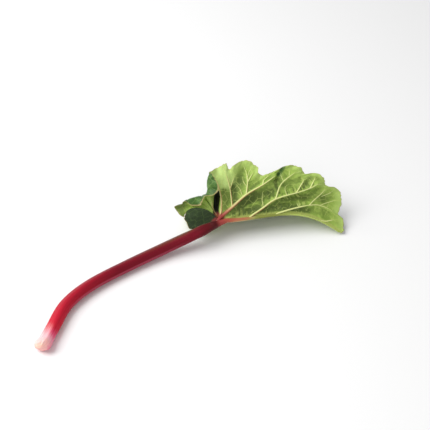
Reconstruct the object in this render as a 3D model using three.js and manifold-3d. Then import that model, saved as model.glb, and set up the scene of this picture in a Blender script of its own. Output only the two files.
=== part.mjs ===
// A rhubarb stalk with its leaf, lying on a flat surface. Millimetres, +Z up.
// The leaf is folded along its midrib like a half-open book: its near half stands up and shows the
// pale ribbed underside, and its far half lies down behind.
import * as THREE from 'three';
import { mergeVertices } from 'three/addons/utils/BufferGeometryUtils.js';
import Module from 'manifold-3d';

const wasm = await Module();
wasm.setup();

// ---------- driving sizes, millimetres and degrees ----------

// where the model is set down, so that its box is centred over the origin
const SET_DOWN = [75, 7, 0];

// the stalk: the middle of its section, from the foot to the knuckle at the leaf base
const STALK_PATH = [
  [-356, -96, 12.6], [-327, -68, 11.6], [-290, -33, 11.6], [-240, -12, 11.2],
  [-170, 0, 10.6], [-100, 4.5, 15], [-45, 1, 26.5], [-11, -2, 34.5],
];
const STALK_HALF_WIDTH = 11.2; // across the grooved upper face
const STALK_HALF_DEPTH = 9.8; // from the grooved face to the round underside
const STALK_ROLL = 52; // how far the grooved face is turned up from facing sideways
const HEAD_ROLL = 24; // the same at the knuckle
const ROLL_REACH = 60; // the stalk turns from one to the other over this length
const GROOVE = 1.1; // how deep the upper face is hollowed
const SECTION_POWER = 0.72; // 1 is an ellipse, 0 a rectangle
const FOOT = { reach: 17, wider: 3.2, deeper: 2.4, groove: 3.4, grooveReach: 32, round: 7, end: 0.62 };
const NECK = { reach: 26, slimmer: 0.3 }; // the stalk narrows before the leaf
const STALK_RINGS = 52;
const STALK_SIDES = 24;

// the leaf: its base, its tip and the tilt of its two halves from level
const LEAF_BASE = new THREE.Vector3(0, 3, 39);
const LEAF_TIP = new THREE.Vector3(188, -93, 3);
const NEAR_TILT = 50;
const FAR_TILT = -27;
const FOLD_ROUND = 1.6; // the fold along the midrib is rounded this much
const FOLD_FADE = 8; // and the rounding fades out this near the leaf base
const BOW = 24; // how far the midrib bows up between base and tip
const BOW_LATE = 1.5; // above 1 the bow is highest past the middle
const BOW_SPREAD = 75; // how far into each half that bow reaches
const SHEET = 0.9; // thickness of the blade
const BLADE_START = 6.5; // the blade begins this far from the leaf base
const CROWDED_START = 23; // and this far where its rays crowd together in a fold
const CROWDED_TO = 0.5; // the rays beside the midrib are crowded up to this slope
const ARM = 22; // how far a rolled ray heads out before it turns
const BLADE_ROWS = 14;
const MARGIN_STEP = 8.5; // longest step along the margin
const MARGIN_TENSION = 0.4; // roundness of the margin's lobes
// how deep the blade sinks between main ribs and between all ribs, and how fast beside a rib
const POCKET = { deep: 8.5, reach: 14, deepSmall: 1.8, reachSmall: 5, crest: 2 };
const POCKET_FULL = { fromBase: 62, fromMidrib: 28 }; // it has its full depth this far out
// the deep hollow of the near half beside the leaf base, where its rolled lobe begins
const HOLLOW = { deep: 10, reach: 6, from: 6, full: 24, path: [[-4, 16], [-8, 36]] };
const NEAR_FRILL = { lift: 2.5, waves: 13, shift: 0.6 }; // slow waves that run round each half
const FAR_FRILL = { lift: 7, waves: 15, shift: 0.2 };
const FRILL_FROM = 35; // they grow from this far from the leaf base
const FRILL_FULL = 115;
const FRILL_OFF_MIDRIB = 40; // and over this width beside the midrib
const TABLE_GAP = 3.1; // the blade lies on its ribs, this far above the surface
const TABLE_SOFTNESS = 1.2;
const CLEAR = 0.5; // gap between the blade and a rib under it
const MEETING_GAP = 0.3; // least gap where a rib comes nearest the blade
const SCRAP = 5; // cubic millimetres: a cut-off crumb smaller than this is left out

// The margin of each half in the half's own plane: along the midrib, away from it and, for the
// rolled part, out of the plane. A rolled row goes on with the elbow that its ray bends over, and
// with the turn and the rise, in degrees, at which the ray leaves the leaf base.
const NEAR_MARGIN = [
  [214, 0], [218, 9], [215, 26], [206, 30], [210, 47], [208, 60], [204, 69], [195, 74],
  [183, 72], [176, 75], [172, 86], [165, 91], [156, 93], [148, 91], [140, 88], [136, 93],
  [131, 99], [122, 102], [111, 102], [101, 98], [92, 92], [86, 88], [81, 85], [74, 82],
  [66, 78], [58, 84], [57, 92], [51, 97], [37, 104], [22, 98], [14, 92], [11, 86],
  [7, 87], [3, 94], [-3, 92], [-15, 83],
  [-26, 77, 2, -20.8, 63.1, -10.5, 103, -8],
  [-20.5, 74, 9, -40.1, 73.3, -14.5, 105.5, -12],
  [-14.5, 66.5, 13, -45.9, 70.3, -13.7, 107.5, -15],
  [-8.5, 57, 14, -45.9, 65.8, -11.6, 109.5, -17],
  [-7.5, 47, 13, -46.4, 56.7, -13.4, 111, -18.5],
  [-16, 39.5, 11, -43.2, 47, -16.9, 112.5, -19],
  [-29, 35.2, 9, -39, 42.3, -28.7, 114, -18.5],
  [-31.5, 27, 12, -50, 48.6, -19.2, 115.5, -17],
  [-34, 20.5, 13, -61.2, 50.9, -16, 117, -15],
  [-46, 18, 13, -65.2, 47, -14.3, 118.5, -12.5],
  [-53.5, 20, 13, -65.1, 41.1, -17.9, 120, -10],
  [-60.5, 23.7, 9, -58, 31, -7, 121, -7.5],
  [-67, 16.5, 7, -57, 28, -6, 122, -5],
  [-76.7, 12, 6, -58, 24.5, -4, 123, -2.5],
  [-72, 5.6, 4, -57, 24, -1, 124, 0],
  [-66, 0, 3, -57, 24.5, 2, 125, 2.5],
  [-59, -4, 2, -57, 25, 5, 126, 5],
];
const FAR_MARGIN = [
  [214, 0], [213, 12], [203, 22], [205, 40], [196, 56], [184, 60], [180, 74], [168, 84],
  [154, 82], [145, 81], [138, 90], [122, 98], [107, 94], [98, 90], [88, 94], [74, 101],
  [58, 99], [48, 90], [38, 95], [22, 99], [6, 94], [-4, 84], [-19, 87], [-32, 80, 6],
  [-42, 68, 16], [-50, 57, 24], [-54, 42, 30], [-51, 28, 31], [-45.5, 13, 34], [-33, 8.5, 33],
];

// The ribs of one half, in the half's plane, with their width at each end. Main ribs lift the blade
// into long crests, and branches into small ones.
const RIBS = [
  { main: true, wide: [6.2, 1.8], path: [[0, 0], [21, 21], [42, 42], [68, 60], [88, 79]] },
  { main: true, wide: [3.6, 1.4], path: [[0, 0], [3, 12], [1, 33], [-4, 49], [-13, 68]] },
  { main: true, wide: [4.4, 1.6], path: [[52, 0], [73, 14], [93, 29], [127, 43], [149, 58], [161, 71]] },
  { main: true, wide: [3.6, 2.0], path: [[96, 0], [131, 12], [152, 21]] },
  { wide: [2.0, 1.3], path: [[152, 21], [168, 46], [177, 64]] },
  { wide: [2.0, 1.3], path: [[152, 21], [169, 27], [190, 29]] },
  { wide: [1.8, 1.2], path: [[172, 0], [184, 4], [199, 15]] },
  { wide: [2.6, 1.3], path: [[21, 21], [14, 52], [3, 78]] },
  { wide: [1.8, 1.2], path: [[14, 52], [19, 74]] },
  { wide: [2.6, 1.3], path: [[42, 42], [42, 65], [38, 84]] },
  { wide: [1.8, 1.2], path: [[42, 65], [49, 82]] },
  { wide: [2.0, 1.2], path: [[68, 60], [69, 69], [76, 78]] },
  { wide: [2.6, 1.3], path: [[93, 29], [100, 62], [121, 88]] },
  { wide: [2.2, 1.3], path: [[127, 43], [138, 76]] },
  { wide: [2.0, 1.2], path: [[149, 58], [156, 84]] },
];
const MIDRIB_WIDE = [8.6, 1.8]; // from the knuckle to the tip
const MIDRIB_TAPER = 0.6; // below 1 it narrows mostly near the knuckle
const MIDRIB_RINGS = { from: 14, step: 10, shortOfTip: 6 };
const RIB_HIGH = 0.72; // height of a rib for its width
const RIB_STEP = 8;
// a rib's section: across and down, in its own width and height
const RIB_PROFILE = [[-0.5, 0], [-0.38, 0.62], [0, 1], [0.38, 0.62], [0.5, 0]];

const finish = (color, roughness) => new THREE.MeshStandardMaterial({ color, roughness, metalness: 0 });
const FINISHES = {
  petiole: finish(0xa8202f, 0.38),
  ribs: finish(0xc6c783, 0.5),
  blade: finish(0x6f9240, 0.55),
};

// ---------- small helpers ----------

const radians = THREE.MathUtils.degToRad;
const { smoothstep, lerp } = THREE.MathUtils;
const UP = new THREE.Vector3(0, 0, 1);
const bell = (distance, reach) => Math.exp(-((distance / reach) ** 2));

// A closed solid through equal rings of points, with a fan over the first and the last ring.
function ringedSolid(rings) {
  const sides = rings[0].length;
  const points = rings.flat();
  const faces = [];
  for (let i = 0; i + 1 < rings.length; i += 1) {
    for (let j = 0; j < sides; j += 1) {
      const a = i * sides + j;
      const b = i * sides + ((j + 1) % sides);
      faces.push([a, b + sides, b], [a, a + sides, b + sides]);
    }
  }
  for (const end of [0, rings.length - 1]) {
    const middle = new THREE.Vector3();
    rings[end].forEach((point) => middle.addScaledVector(point, 1 / sides));
    points.push(middle);
    for (let j = 0; j < sides; j += 1) {
      const rim = [end * sides + j, end * sides + ((j + 1) % sides)];
      faces.push([points.length - 1, ...(end === 0 ? rim : rim.reverse())]);
    }
  }
  return facedGeometry(points, faces);
}

function facedGeometry(points, faces) {
  const geometry = new THREE.BufferGeometry();
  const numbers = points.flatMap((point) => point.toArray());
  geometry.setAttribute('position', new THREE.Float32BufferAttribute(numbers, 3));
  geometry.setIndex(faces.flat());
  return geometry;
}

function toSolid(geometry) {
  const merged = mergeVertices(geometry, 1e-4);
  return new wasm.Manifold(new wasm.Mesh({
    numProp: 3,
    vertProperties: new Float32Array(merged.attributes.position.array),
    triVerts: new Uint32Array(merged.index.array),
  }));
}

function toGeometry(solid) {
  const mesh = solid.getMesh();
  const geometry = new THREE.BufferGeometry();
  geometry.setAttribute('position', new THREE.BufferAttribute(mesh.vertProperties, 3));
  geometry.setIndex(new THREE.BufferAttribute(mesh.triVerts, 1));
  return geometry;
}

// ---------- the stalk ----------

const stalkCurve = new THREE.CatmullRomCurve3(
  STALK_PATH.map((point) => new THREE.Vector3(...point)), false, 'catmullrom');
const STALK_LENGTH = stalkCurve.getLength();

// Half width, half depth, groove and roll of the stalk at a distance from its foot.
function stalkSizes(distance) {
  const foot = bell(distance, FOOT.reach);
  const neck = 1 - NECK.slimmer * smoothstep(distance, STALK_LENGTH - NECK.reach, STALK_LENGTH);
  const into = Math.max(0, 1 - distance / FOOT.round);
  const rounded = Math.sqrt(1 - (1 - FOOT.end ** 2) * into ** 2);
  return {
    width: (STALK_HALF_WIDTH + FOOT.wider * foot) * neck * rounded,
    depth: (STALK_HALF_DEPTH + FOOT.deeper * foot) * neck * rounded,
    groove: GROOVE + FOOT.groove * bell(distance, FOOT.grooveReach),
    roll: lerp(STALK_ROLL, HEAD_ROLL, smoothstep(distance, STALK_LENGTH - ROLL_REACH, STALK_LENGTH)),
  };
}

// One ring of the stalk: flat to hollow on its upper face, rounded at the sides and underneath,
// and flattened where it presses on the surface.
function stalkRing(at) {
  const distance = at * STALK_LENGTH;
  const centre = stalkCurve.getPointAt(at);
  const along = stalkCurve.getTangentAt(at);
  const level = UP.clone().cross(along).normalize();
  const over = along.clone().cross(level);
  const size = stalkSizes(distance);
  const roll = radians(size.roll);
  const face = level.clone().multiplyScalar(Math.cos(roll)).addScaledVector(over, Math.sin(roll));
  const side = along.clone().cross(face);
  return Array.from({ length: STALK_SIDES }, (_, j) => {
    const turn = (j / STALK_SIDES) * 2 * Math.PI;
    const [c, s] = [Math.cos(turn), Math.sin(turn)];
    const across = Math.sign(c) * Math.abs(c) ** SECTION_POWER;
    const height = size.depth * Math.sign(s) * Math.abs(s) ** SECTION_POWER;
    const hollow = s > 0 ? size.groove * (1 - across ** 2) : 0;
    const point = centre.clone()
      .addScaledVector(side, size.width * across)
      .addScaledVector(face, height - hollow);
    point.z = Math.max(point.z, 0);
    return point;
  });
}

function makeStalk() {
  const rings = Array.from({ length: STALK_RINGS + 1 }, (_, i) => stalkRing(i / STALK_RINGS));
  return ringedSolid(rings);
}

// ---------- the leaf as a sheet ----------

const midribLine = LEAF_TIP.clone().sub(LEAF_BASE);
const LEAF_LENGTH = midribLine.length();
const alongLeaf = midribLine.clone().normalize();
const awayFromLeaf = UP.clone().cross(alongLeaf).normalize();
const overLeaf = alongLeaf.clone().cross(awayFromLeaf);

// The plane of one half: the direction across it and the one out of its underside.
function halfPlane(tilt, sign, frill, hollow) {
  const across = awayFromLeaf.clone().multiplyScalar(Math.cos(radians(tilt)))
    .addScaledVector(overLeaf, Math.sin(radians(tilt)));
  return { across, under: alongLeaf.clone().cross(across).multiplyScalar(sign), frill, hollow };
}
const NEAR = halfPlane(NEAR_TILT, 1, NEAR_FRILL, HOLLOW.deep);
const FAR = halfPlane(FAR_TILT, -1, FAR_FRILL, 0);
const intoFold = NEAR.across.clone().add(FAR.across).normalize();
const FOLD_RISE = intoFold.dot(NEAR.across);

// The lift of the slow waves, which leave the midrib as it is.
function frillLift(p, q, frill) {
  const grown = smoothstep(Math.hypot(p, q), FRILL_FROM, FRILL_FULL) * smoothstep(q, 0, FRILL_OFF_MIDRIB);
  return frill.lift * grown * Math.sin(frill.waves * (Math.atan2(q, p) + frill.shift));
}

function distanceToPath(p, q, path) {
  let nearest = Infinity;
  for (let i = 0; i + 1 < path.length; i += 1) {
    const [a, b] = [path[i], path[i + 1]];
    const [dp, dq] = [b[0] - a[0], b[1] - a[1]];
    const raw = ((p - a[0]) * dp + (q - a[1]) * dq) / (dp * dp + dq * dq);
    const k = Math.min(1, Math.max(0, raw));
    nearest = Math.min(nearest, Math.hypot(p - a[0] - k * dp, q - a[1] - k * dq));
  }
  return nearest;
}

// How far the blade sinks between its ribs, to the upper side.
function pocketDepth(p, q) {
  const crest = (d) => Math.hypot(d, POCKET.crest) - POCKET.crest;
  const paths = (list) => crest(Math.min(...list.map((rib) => distanceToPath(p, q, rib.path))));
  const large = POCKET.deep * (1 - Math.exp(-paths(RIBS.filter((rib) => rib.main)) / POCKET.reach));
  const small = POCKET.deepSmall * (1 - Math.exp(-paths(RIBS) / POCKET.reachSmall));
  const base = smoothstep(Math.hypot(p, q), BLADE_START, POCKET_FULL.fromBase);
  const fold = p > 0 ? smoothstep(q, 0, POCKET_FULL.fromMidrib) : 1;
  return base * fold * (large + small);
}

// A point of a half, from its place in the half's plane, its lift to the underside and the half.
function onLeaf(p, q, lift, half) {
  const hollow = half.hollow * smoothstep(Math.hypot(p, q), HOLLOW.from, HOLLOW.full)
    * bell(distanceToPath(p, q, HOLLOW.path), HOLLOW.reach);
  const u = THREE.MathUtils.clamp(p / LEAF_LENGTH, 0, 1);
  const bow = BOW * Math.sin(Math.PI * u ** BOW_LATE) * bell(q, BOW_SPREAD);
  const rounding = FOLD_RISE * smoothstep(p, -FOLD_FADE, FOLD_FADE) * (Math.hypot(q, FOLD_ROUND) - q);
  const point = LEAF_BASE.clone()
    .addScaledVector(alongLeaf, p)
    .addScaledVector(half.across, q)
    .addScaledVector(half.under, lift + frillLift(p, q, half.frill) - hollow)
    .addScaledVector(NEAR.across, bow)
    .addScaledVector(intoFold, rounding);
  const above = point.z - TABLE_GAP;
  point.z = TABLE_GAP + (above + Math.hypot(above, 2 * TABLE_SOFTNESS)) / 2;
  return point;
}

// A row of the margin as the end of a ray and the two points that shape the ray on its way there.
function marginRow([p, q, lift = 0, ...rolled]) {
  const end = new THREE.Vector3(p, q, lift);
  if (!rolled.length) {
    return { arm: end.clone().divideScalar(3), elbow: end.clone().multiplyScalar(2 / 3), end, rolled: 0 };
  }
  const [elbowP, elbowQ, elbowLift, turn, rise] = rolled;
  const level = ARM * Math.cos(radians(rise));
  const arm = new THREE.Vector3(
    level * Math.cos(radians(turn)), level * Math.sin(radians(turn)), ARM * Math.sin(radians(rise)));
  return { arm, elbow: new THREE.Vector3(elbowP, elbowQ, elbowLift), end, rolled: 1 };
}

// The rays that the blade is made of: each is a cubic curve from the leaf base to the margin, and a
// straight ray where the margin isn't rolled.
function marginRays(rows, half) {
  const full = rows.map(marginRow);
  const through = (points) => new THREE.CatmullRomCurve3(points, false, 'catmullrom', MARGIN_TENSION);
  const arms = through(full.map((row) => row.arm));
  const elbows = through(full.map((row) => row.elbow));
  const ends = through(full.map((row) => row.end));
  const rays = [];
  for (let i = 0; i + 1 < full.length; i += 1) {
    const span = Math.max(
      full[i].end.distanceTo(full[i + 1].end), full[i].elbow.distanceTo(full[i + 1].elbow));
    const pieces = Math.ceil(span / MARGIN_STEP);
    for (let j = 0; j < pieces; j += 1) {
      rays.push((i + j / pieces) / (full.length - 1));
    }
  }
  rays.push(1);
  return rays.map((at) => {
    const row = at * (full.length - 1);
    const before = Math.min(Math.floor(row), full.length - 2);
    return {
      half,
      arm: arms.getPoint(at),
      elbow: elbows.getPoint(at),
      end: ends.getPoint(at),
      rolled: lerp(full[before].rolled, full[before + 1].rolled, row - before),
    };
  });
}

function rayPoint(ray, t) {
  const flat = ray.arm.clone().multiplyScalar(3 * t * (1 - t) ** 2)
    .addScaledVector(ray.elbow, 3 * t * t * (1 - t))
    .addScaledVector(ray.end, t ** 3);
  const sink = (1 - ray.rolled) * pocketDepth(flat.x, flat.y);
  return onLeaf(flat.x, flat.y, flat.z - sink, ray.half);
}

function makeBlade(thickness) {
  const near = marginRays(NEAR_MARGIN, NEAR);
  const far = marginRays(FAR_MARGIN, FAR);
  const rays = [...near.reverse(), ...far.slice(1)];
  const grid = rays.map((ray) => {
    const folded = 1 - smoothstep(ray.end.y / ray.end.length(), 0, CROWDED_TO);
    const from = lerp(BLADE_START, CROWDED_START, Math.max(ray.rolled, folded));
    const start = from / (3 * Math.max(ray.arm.length(), from / 3));
    return Array.from({ length: BLADE_ROWS + 1 }, (_, j) => rayPoint(ray, lerp(start, 1, j / BLADE_ROWS)));
  });
  return sheetSolid(grid, thickness);
}

// A closed sheet of even thickness over a grid of points, with both faces split alike.
function sheetSolid(grid, thickness) {
  const [rows, columns] = [grid.length, grid[0].length];
  const index = (i, j) => i * columns + j;
  const middle = grid.flat();
  const cells = [];
  for (let i = 0; i + 1 < rows; i += 1) {
    for (let j = 0; j + 1 < columns; j += 1) {
      cells.push([index(i, j), index(i + 1, j), index(i + 1, j + 1)]);
      cells.push([index(i, j), index(i + 1, j + 1), index(i, j + 1)]);
    }
  }
  const skin = facedGeometry(middle, cells);
  skin.computeVertexNormals();
  const normal = new THREE.Vector3();
  const shifted = (by) => middle.map((point, k) => point.clone()
    .addScaledVector(normal.fromBufferAttribute(skin.attributes.normal, k), by));
  const count = middle.length;
  const rim = [];
  for (let i = 0; i < rows; i += 1) rim.push(index(i, 0));
  for (let j = 1; j < columns; j += 1) rim.push(index(rows - 1, j));
  for (let i = rows - 2; i >= 0; i -= 1) rim.push(index(i, columns - 1));
  for (let j = columns - 2; j > 0; j -= 1) rim.push(index(0, j));
  const faces = [...cells, ...cells.map(([a, b, c]) => [a + count, c + count, b + count])];
  rim.forEach((a, k) => {
    const b = rim[(k + 1) % rim.length];
    faces.push([b, a, a + count], [b, a + count, b + count]);
  });
  return facedGeometry([...shifted(thickness / 2), ...shifted(-thickness / 2)], faces);
}

// ---------- the ribs under the leaf ----------

// A rib along a path on the underside of a half: flat against the blade and round below.
function ribSolid(rib, half) {
  const curve = new THREE.CatmullRomCurve3(
    rib.path.map(([p, q]) => new THREE.Vector3(p, q, 0)), false, 'catmullrom');
  const steps = Math.max(2, Math.round(curve.getLength() / RIB_STEP));
  const rings = Array.from({ length: steps + 1 }, (_, i) => {
    const at = i / steps;
    const flat = curve.getPointAt(at);
    const along = curve.getTangentAt(at);
    const wide = lerp(rib.wide[0], rib.wide[1], at);
    const high = wide * RIB_HIGH;
    return RIB_PROFILE.map(([across, down]) => {
      const [p, q] = [flat.x - along.y * across * wide, flat.y + along.x * across * wide];
      return onLeaf(p, q, -pocketDepth(flat.x, flat.y), half)
        .addScaledVector(half.under, SHEET / 2 + CLEAR + down * high);
    });
  });
  if (rib.path[0][1] === 0) sinkInMidrib(rings[0], rib.path[0][0]);
  if (half === FAR) rings.forEach((ring) => ring.reverse());
  return toSolid(ringedSolid(rings));
}

const midribWidth = (p) => lerp(MIDRIB_WIDE[0], MIDRIB_WIDE[1], (p / LEAF_LENGTH) ** MIDRIB_TAPER);

function midribCentre(p) {
  return onLeaf(p, 0, 0, NEAR).addScaledVector(intoFold, -(midribWidth(p) / 2 + SHEET / 2 + CLEAR));
}

// Moves the first ring of a rib that leaves the midrib into the middle of the midrib.
function sinkInMidrib(ring, p) {
  const centre = new THREE.Vector3();
  ring.forEach((point) => centre.addScaledVector(point, 1 / ring.length));
  const shift = midribCentre(p).sub(centre);
  ring.forEach((point) => point.add(shift));
}

// The knuckle at the head of the stalk and the midrib that it runs into, outside the fold.
function midribSolid() {
  const head = stalkRing(1);
  const knuckleEnd = stalkCurve.getPointAt(1);
  const heading = stalkCurve.getTangentAt(1);
  const first = head.map((point) => point.clone().addScaledVector(heading, MEETING_GAP));
  const path = [knuckleEnd.clone().addScaledVector(heading, MEETING_GAP)];
  const widths = [0];
  for (let p = MIDRIB_RINGS.from; p <= LEAF_LENGTH - MIDRIB_RINGS.shortOfTip; p += MIDRIB_RINGS.step) {
    path.push(midribCentre(p));
    widths.push(midribWidth(p));
  }
  const curve = new THREE.CatmullRomCurve3(path, false, 'catmullrom');
  const rings = path.map((centre, i) => {
    if (i === 0) return first;
    const along = curve.getTangent(i / (path.length - 1));
    const level = UP.clone().cross(along).normalize();
    const over = along.clone().cross(level);
    const roll = radians(HEAD_ROLL);
    const face = level.clone().multiplyScalar(Math.cos(roll)).addScaledVector(over, Math.sin(roll));
    const side = along.clone().cross(face);
    return head.map((_, j) => {
      const turn = (j / STALK_SIDES) * 2 * Math.PI;
      return centre.clone()
        .addScaledVector(side, (Math.cos(turn) * widths[i]) / 2)
        .addScaledVector(face, (Math.sin(turn) * widths[i]) / 2);
    });
  });
  return toSolid(ringedSolid(rings));
}

function makeRibs() {
  const pieces = [midribSolid()];
  for (const half of [NEAR, FAR]) {
    RIBS.forEach((rib) => pieces.push(ribSolid(rib, half)));
  }
  // small closed pockets where ribs meet are filled, and no rib comes nearer the blade than the gap
  const filled = wasm.Manifold.union(pieces).decompose().filter((solid) => solid.volume() > 0);
  const trimmed = wasm.Manifold.union(filled).subtract(toSolid(makeBlade(SHEET + 2 * MEETING_GAP)));
  return toGeometry(wasm.Manifold.union(trimmed.decompose().filter((solid) => solid.volume() > SCRAP)));
}

// ---------- the assembly ----------

function piece(name, geometry, material) {
  const mesh = new THREE.Mesh(geometry, material);
  mesh.name = name;
  return mesh;
}

const group = new THREE.Group();
group.position.set(...SET_DOWN);
group.add(piece('petiole', makeStalk(), FINISHES.petiole));
group.add(piece('leaf_ribs', makeRibs(), FINISHES.ribs));
group.add(piece('leaf_blade', makeBlade(SHEET), FINISHES.blade));

export default group;
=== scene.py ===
"""Looks of a rhubarb stalk with its leaf, lying on its side.

The shape formulas work in millimetres, and the meshes that they give are in metres. On the leaf, p is
a place along the midrib, counted from the leaf base, and q is a place away from it, in the plane of
a half. A span is a pair of numbers: where something starts and where it is full.
"""

from __future__ import annotations

import logging
import math
from dataclasses import dataclass, field
from enum import Enum

import bmesh
import bpy
import numpy as np
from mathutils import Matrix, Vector

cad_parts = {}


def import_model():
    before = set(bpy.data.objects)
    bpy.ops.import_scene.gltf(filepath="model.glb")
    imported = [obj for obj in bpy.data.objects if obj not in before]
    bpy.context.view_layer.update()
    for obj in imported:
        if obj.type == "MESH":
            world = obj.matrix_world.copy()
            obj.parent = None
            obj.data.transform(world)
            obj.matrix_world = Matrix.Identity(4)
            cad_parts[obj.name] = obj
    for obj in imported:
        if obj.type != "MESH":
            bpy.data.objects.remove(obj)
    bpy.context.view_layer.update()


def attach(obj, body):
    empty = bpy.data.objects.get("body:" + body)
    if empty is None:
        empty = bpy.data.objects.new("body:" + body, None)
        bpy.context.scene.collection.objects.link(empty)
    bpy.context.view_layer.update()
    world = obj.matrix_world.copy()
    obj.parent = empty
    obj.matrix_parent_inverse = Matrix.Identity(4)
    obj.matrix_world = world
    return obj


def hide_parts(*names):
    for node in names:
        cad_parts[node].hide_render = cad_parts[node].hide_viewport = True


Array = np.ndarray
Colour = tuple[float, float, float]
Point = tuple[float, float, float]
Span = tuple[float, float]
Route = tuple[tuple[float, float], ...]
Margin = tuple[tuple[float, ...], ...]
Pockets = tuple[tuple[Route, float, float], ...]

METRES = 0.001
BODY = "root"
SET_DOWN = (75.0, 7.0, 0.0)
SEED = 4127
UP = np.array([0.0, 0.0, 1.0])
NOISE_MIDDLE = 0.5
LEAST_GAP = 1e-6

log = logging.getLogger("rhubarb")


# ---------- numbers and curves ----------


def ease(x: Array, low: float | Array, high: float | Array) -> Array:
    """Rises smoothly from 0 at low to 1 at high."""
    share = np.clip((x - low) / (high - low), 0.0, 1.0)
    return share * share * (3.0 - 2.0 * share)


def between(a: float | Array, b: float | Array, share: float | Array) -> float | Array:
    """The value at a share of the way from a to b."""
    return a + (b - a) * share


def bell(distance: Array, reach: float) -> Array:
    """1 at no distance, falling off over the reach."""
    return np.exp(-((distance / reach) ** 2))


def unit(v: Array) -> Array:
    """The vector, or each row of vectors, at length 1."""
    return v / np.linalg.norm(v, axis=-1, keepdims=True)


def turned(a: Array, b: Array, degrees: float | Array) -> Array:
    """The direction a turned towards b, by one angle or by one for each row."""
    angle = np.radians(degrees)[..., None]
    return a * np.cos(angle) + b * np.sin(angle)


def turns(sides: int) -> Array:
    """The angles of points that are spread evenly round a section."""
    return np.arange(sides) / sides * 2 * math.pi


@dataclass
class Spline:
    """A smooth curve through points. The tension sets how far it bulges between them."""

    points: Array
    tension: float = 0.5
    samples: int = 4000
    probe: float = 1e-4

    def at(self, share: Array) -> Array:
        """Points at shares of the chain of points.

        Args:
            share: from 0 at the first point to 1 at the last, even from point to point.

        Returns:
            One row for each share.
        """
        p = self.points
        chain = np.vstack([2 * p[0] - p[1], p, 2 * p[-1] - p[-2]])
        place = np.clip(share, 0.0, 1.0) * (len(p) - 1)
        i = np.minimum(place.astype(int), len(p) - 2)
        w = (place - i)[:, None]
        before, a, b, after = chain[i], chain[i + 1], chain[i + 2], chain[i + 3]
        ta, tb = self.tension * (b - before), self.tension * (after - a)
        return a + ta * w + (3 * (b - a) - 2 * ta - tb) * w**2 + (2 * (a - b) + ta + tb) * w**3

    def _lengths(self) -> tuple[Array, Array]:
        """Samples the curve.

        Returns:
            Even shares of the chain, and the length up to each.
        """
        share = np.linspace(0.0, 1.0, self.samples)
        steps = np.linalg.norm(np.diff(self.at(share), axis=0), axis=1)
        return share, np.concatenate([[0.0], np.cumsum(steps)])

    def length(self) -> float:
        """The length of the curve."""
        return float(self._lengths()[1][-1])

    def share_at(self, distance: Array) -> Array:
        """The share of the chain at distances along the curve."""
        share, reached = self._lengths()
        return np.interp(distance, reached, share)

    def along(self, distance: Array) -> tuple[Array, Array]:
        """Points and directions at distances along the curve.

        Args:
            distance: in the points' own unit.

        Returns:
            The points, and the unit directions there.
        """
        share = self.share_at(distance)
        ahead = self.at(np.minimum(share + self.probe, 1.0)) - self.at(np.maximum(share - self.probe, 0.0))
        return self.at(share), unit(ahead)


# ---------- meshes ----------


@dataclass
class Shell:
    """Points in millimetres, faces over them and named values at the points."""

    points: Array
    faces: list[tuple[int, ...]]
    values: dict[str, Array] = field(default_factory=dict)

    def joined(self, other: "Shell") -> "Shell":
        """This shell and another one as one.

        Args:
            other: a shell with the same names of values.

        Returns:
            The new shell, with this one's points first.
        """
        shift = len(self.points)
        faces = self.faces + [tuple(i + shift for i in face) for face in other.faces]
        values = {name: np.concatenate([held, other.values[name]]) for name, held in self.values.items()}
        return Shell(np.vstack([self.points, other.points]), faces, values)

    def _hold(self, mesh: bpy.types.Mesh) -> None:
        """Gives a mesh the values at its points.

        Args:
            mesh: a mesh of these points.
        """
        for label, held in self.values.items():
            kind, slot = ("FLOAT_VECTOR", "vector") if held.ndim == 2 else ("FLOAT", "value")
            entry = mesh.attributes.new(label, kind, "POINT")
            entry.data.foreach_set(slot, held.astype(np.float32).ravel())

    def piece(self, name: str, material: bpy.types.Material) -> bpy.types.Object:
        """Makes the object in the scene, in metres.

        Args:
            name: the object's name.
            material: its finish.

        Returns:
            The new object, with its faces pointing out.
        """
        mesh = bpy.data.meshes.new(name)
        mesh.from_pydata((self.points * METRES).tolist(), [], self.faces)
        self._hold(mesh)
        work = bmesh.new()
        work.from_mesh(mesh)
        bmesh.ops.recalc_face_normals(work, faces=work.faces)
        work.to_mesh(mesh)
        work.free()
        mesh.polygons.foreach_set("use_smooth", [True] * len(mesh.polygons))
        mesh.materials.append(material)
        mesh.update()
        made = bpy.data.objects.new(name, mesh)
        bpy.context.scene.collection.objects.link(made)
        return made


def grid_faces(rows: int, columns: int, first: int = 0) -> list[tuple[int, ...]]:
    """Four-sided faces over a grid of points.

    Args:
        rows: how many rows of points.
        columns: how many points a row has.
        first: the number of the grid's first point.

    Returns:
        The faces, row by row.
    """
    i, j = np.meshgrid(np.arange(rows - 1), np.arange(columns - 1), indexing="ij")
    a = (first + i * columns + j).ravel()
    return list(map(tuple, np.stack([a, a + columns, a + columns + 1, a + 1], axis=1).tolist()))


def tube(rings: Array, values: dict[str, Array]) -> Shell:
    """A closed tube through rings of points.

    Args:
        rings: rings by points by 3.
        values: rings by points, or rings by points by 3, under each name.

    Returns:
        The tube, with a fan over each end.
    """
    count, sides = rings.shape[:2]
    faces = []
    for i in range(count - 1):
        for j in range(sides):
            a, b = i * sides + j, i * sides + (j + 1) % sides
            faces.append((a, b, b + sides, a + sides))
    for end, middle in ((0, count * sides), (count - 1, count * sides + 1)):
        for j in range(sides):
            faces.append((end * sides + j, end * sides + (j + 1) % sides, middle))
    return Shell(capped(rings), faces, {name: capped(held) for name, held in values.items()})


def capped(held: Array) -> Array:
    """What rings hold, point by point, and then the means over the first and the last ring."""
    points = held.reshape(-1, *held.shape[2:])
    return np.concatenate([points, held[:1].mean(axis=1), held[-1:].mean(axis=1)])


# ---------- material nodes ----------


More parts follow.
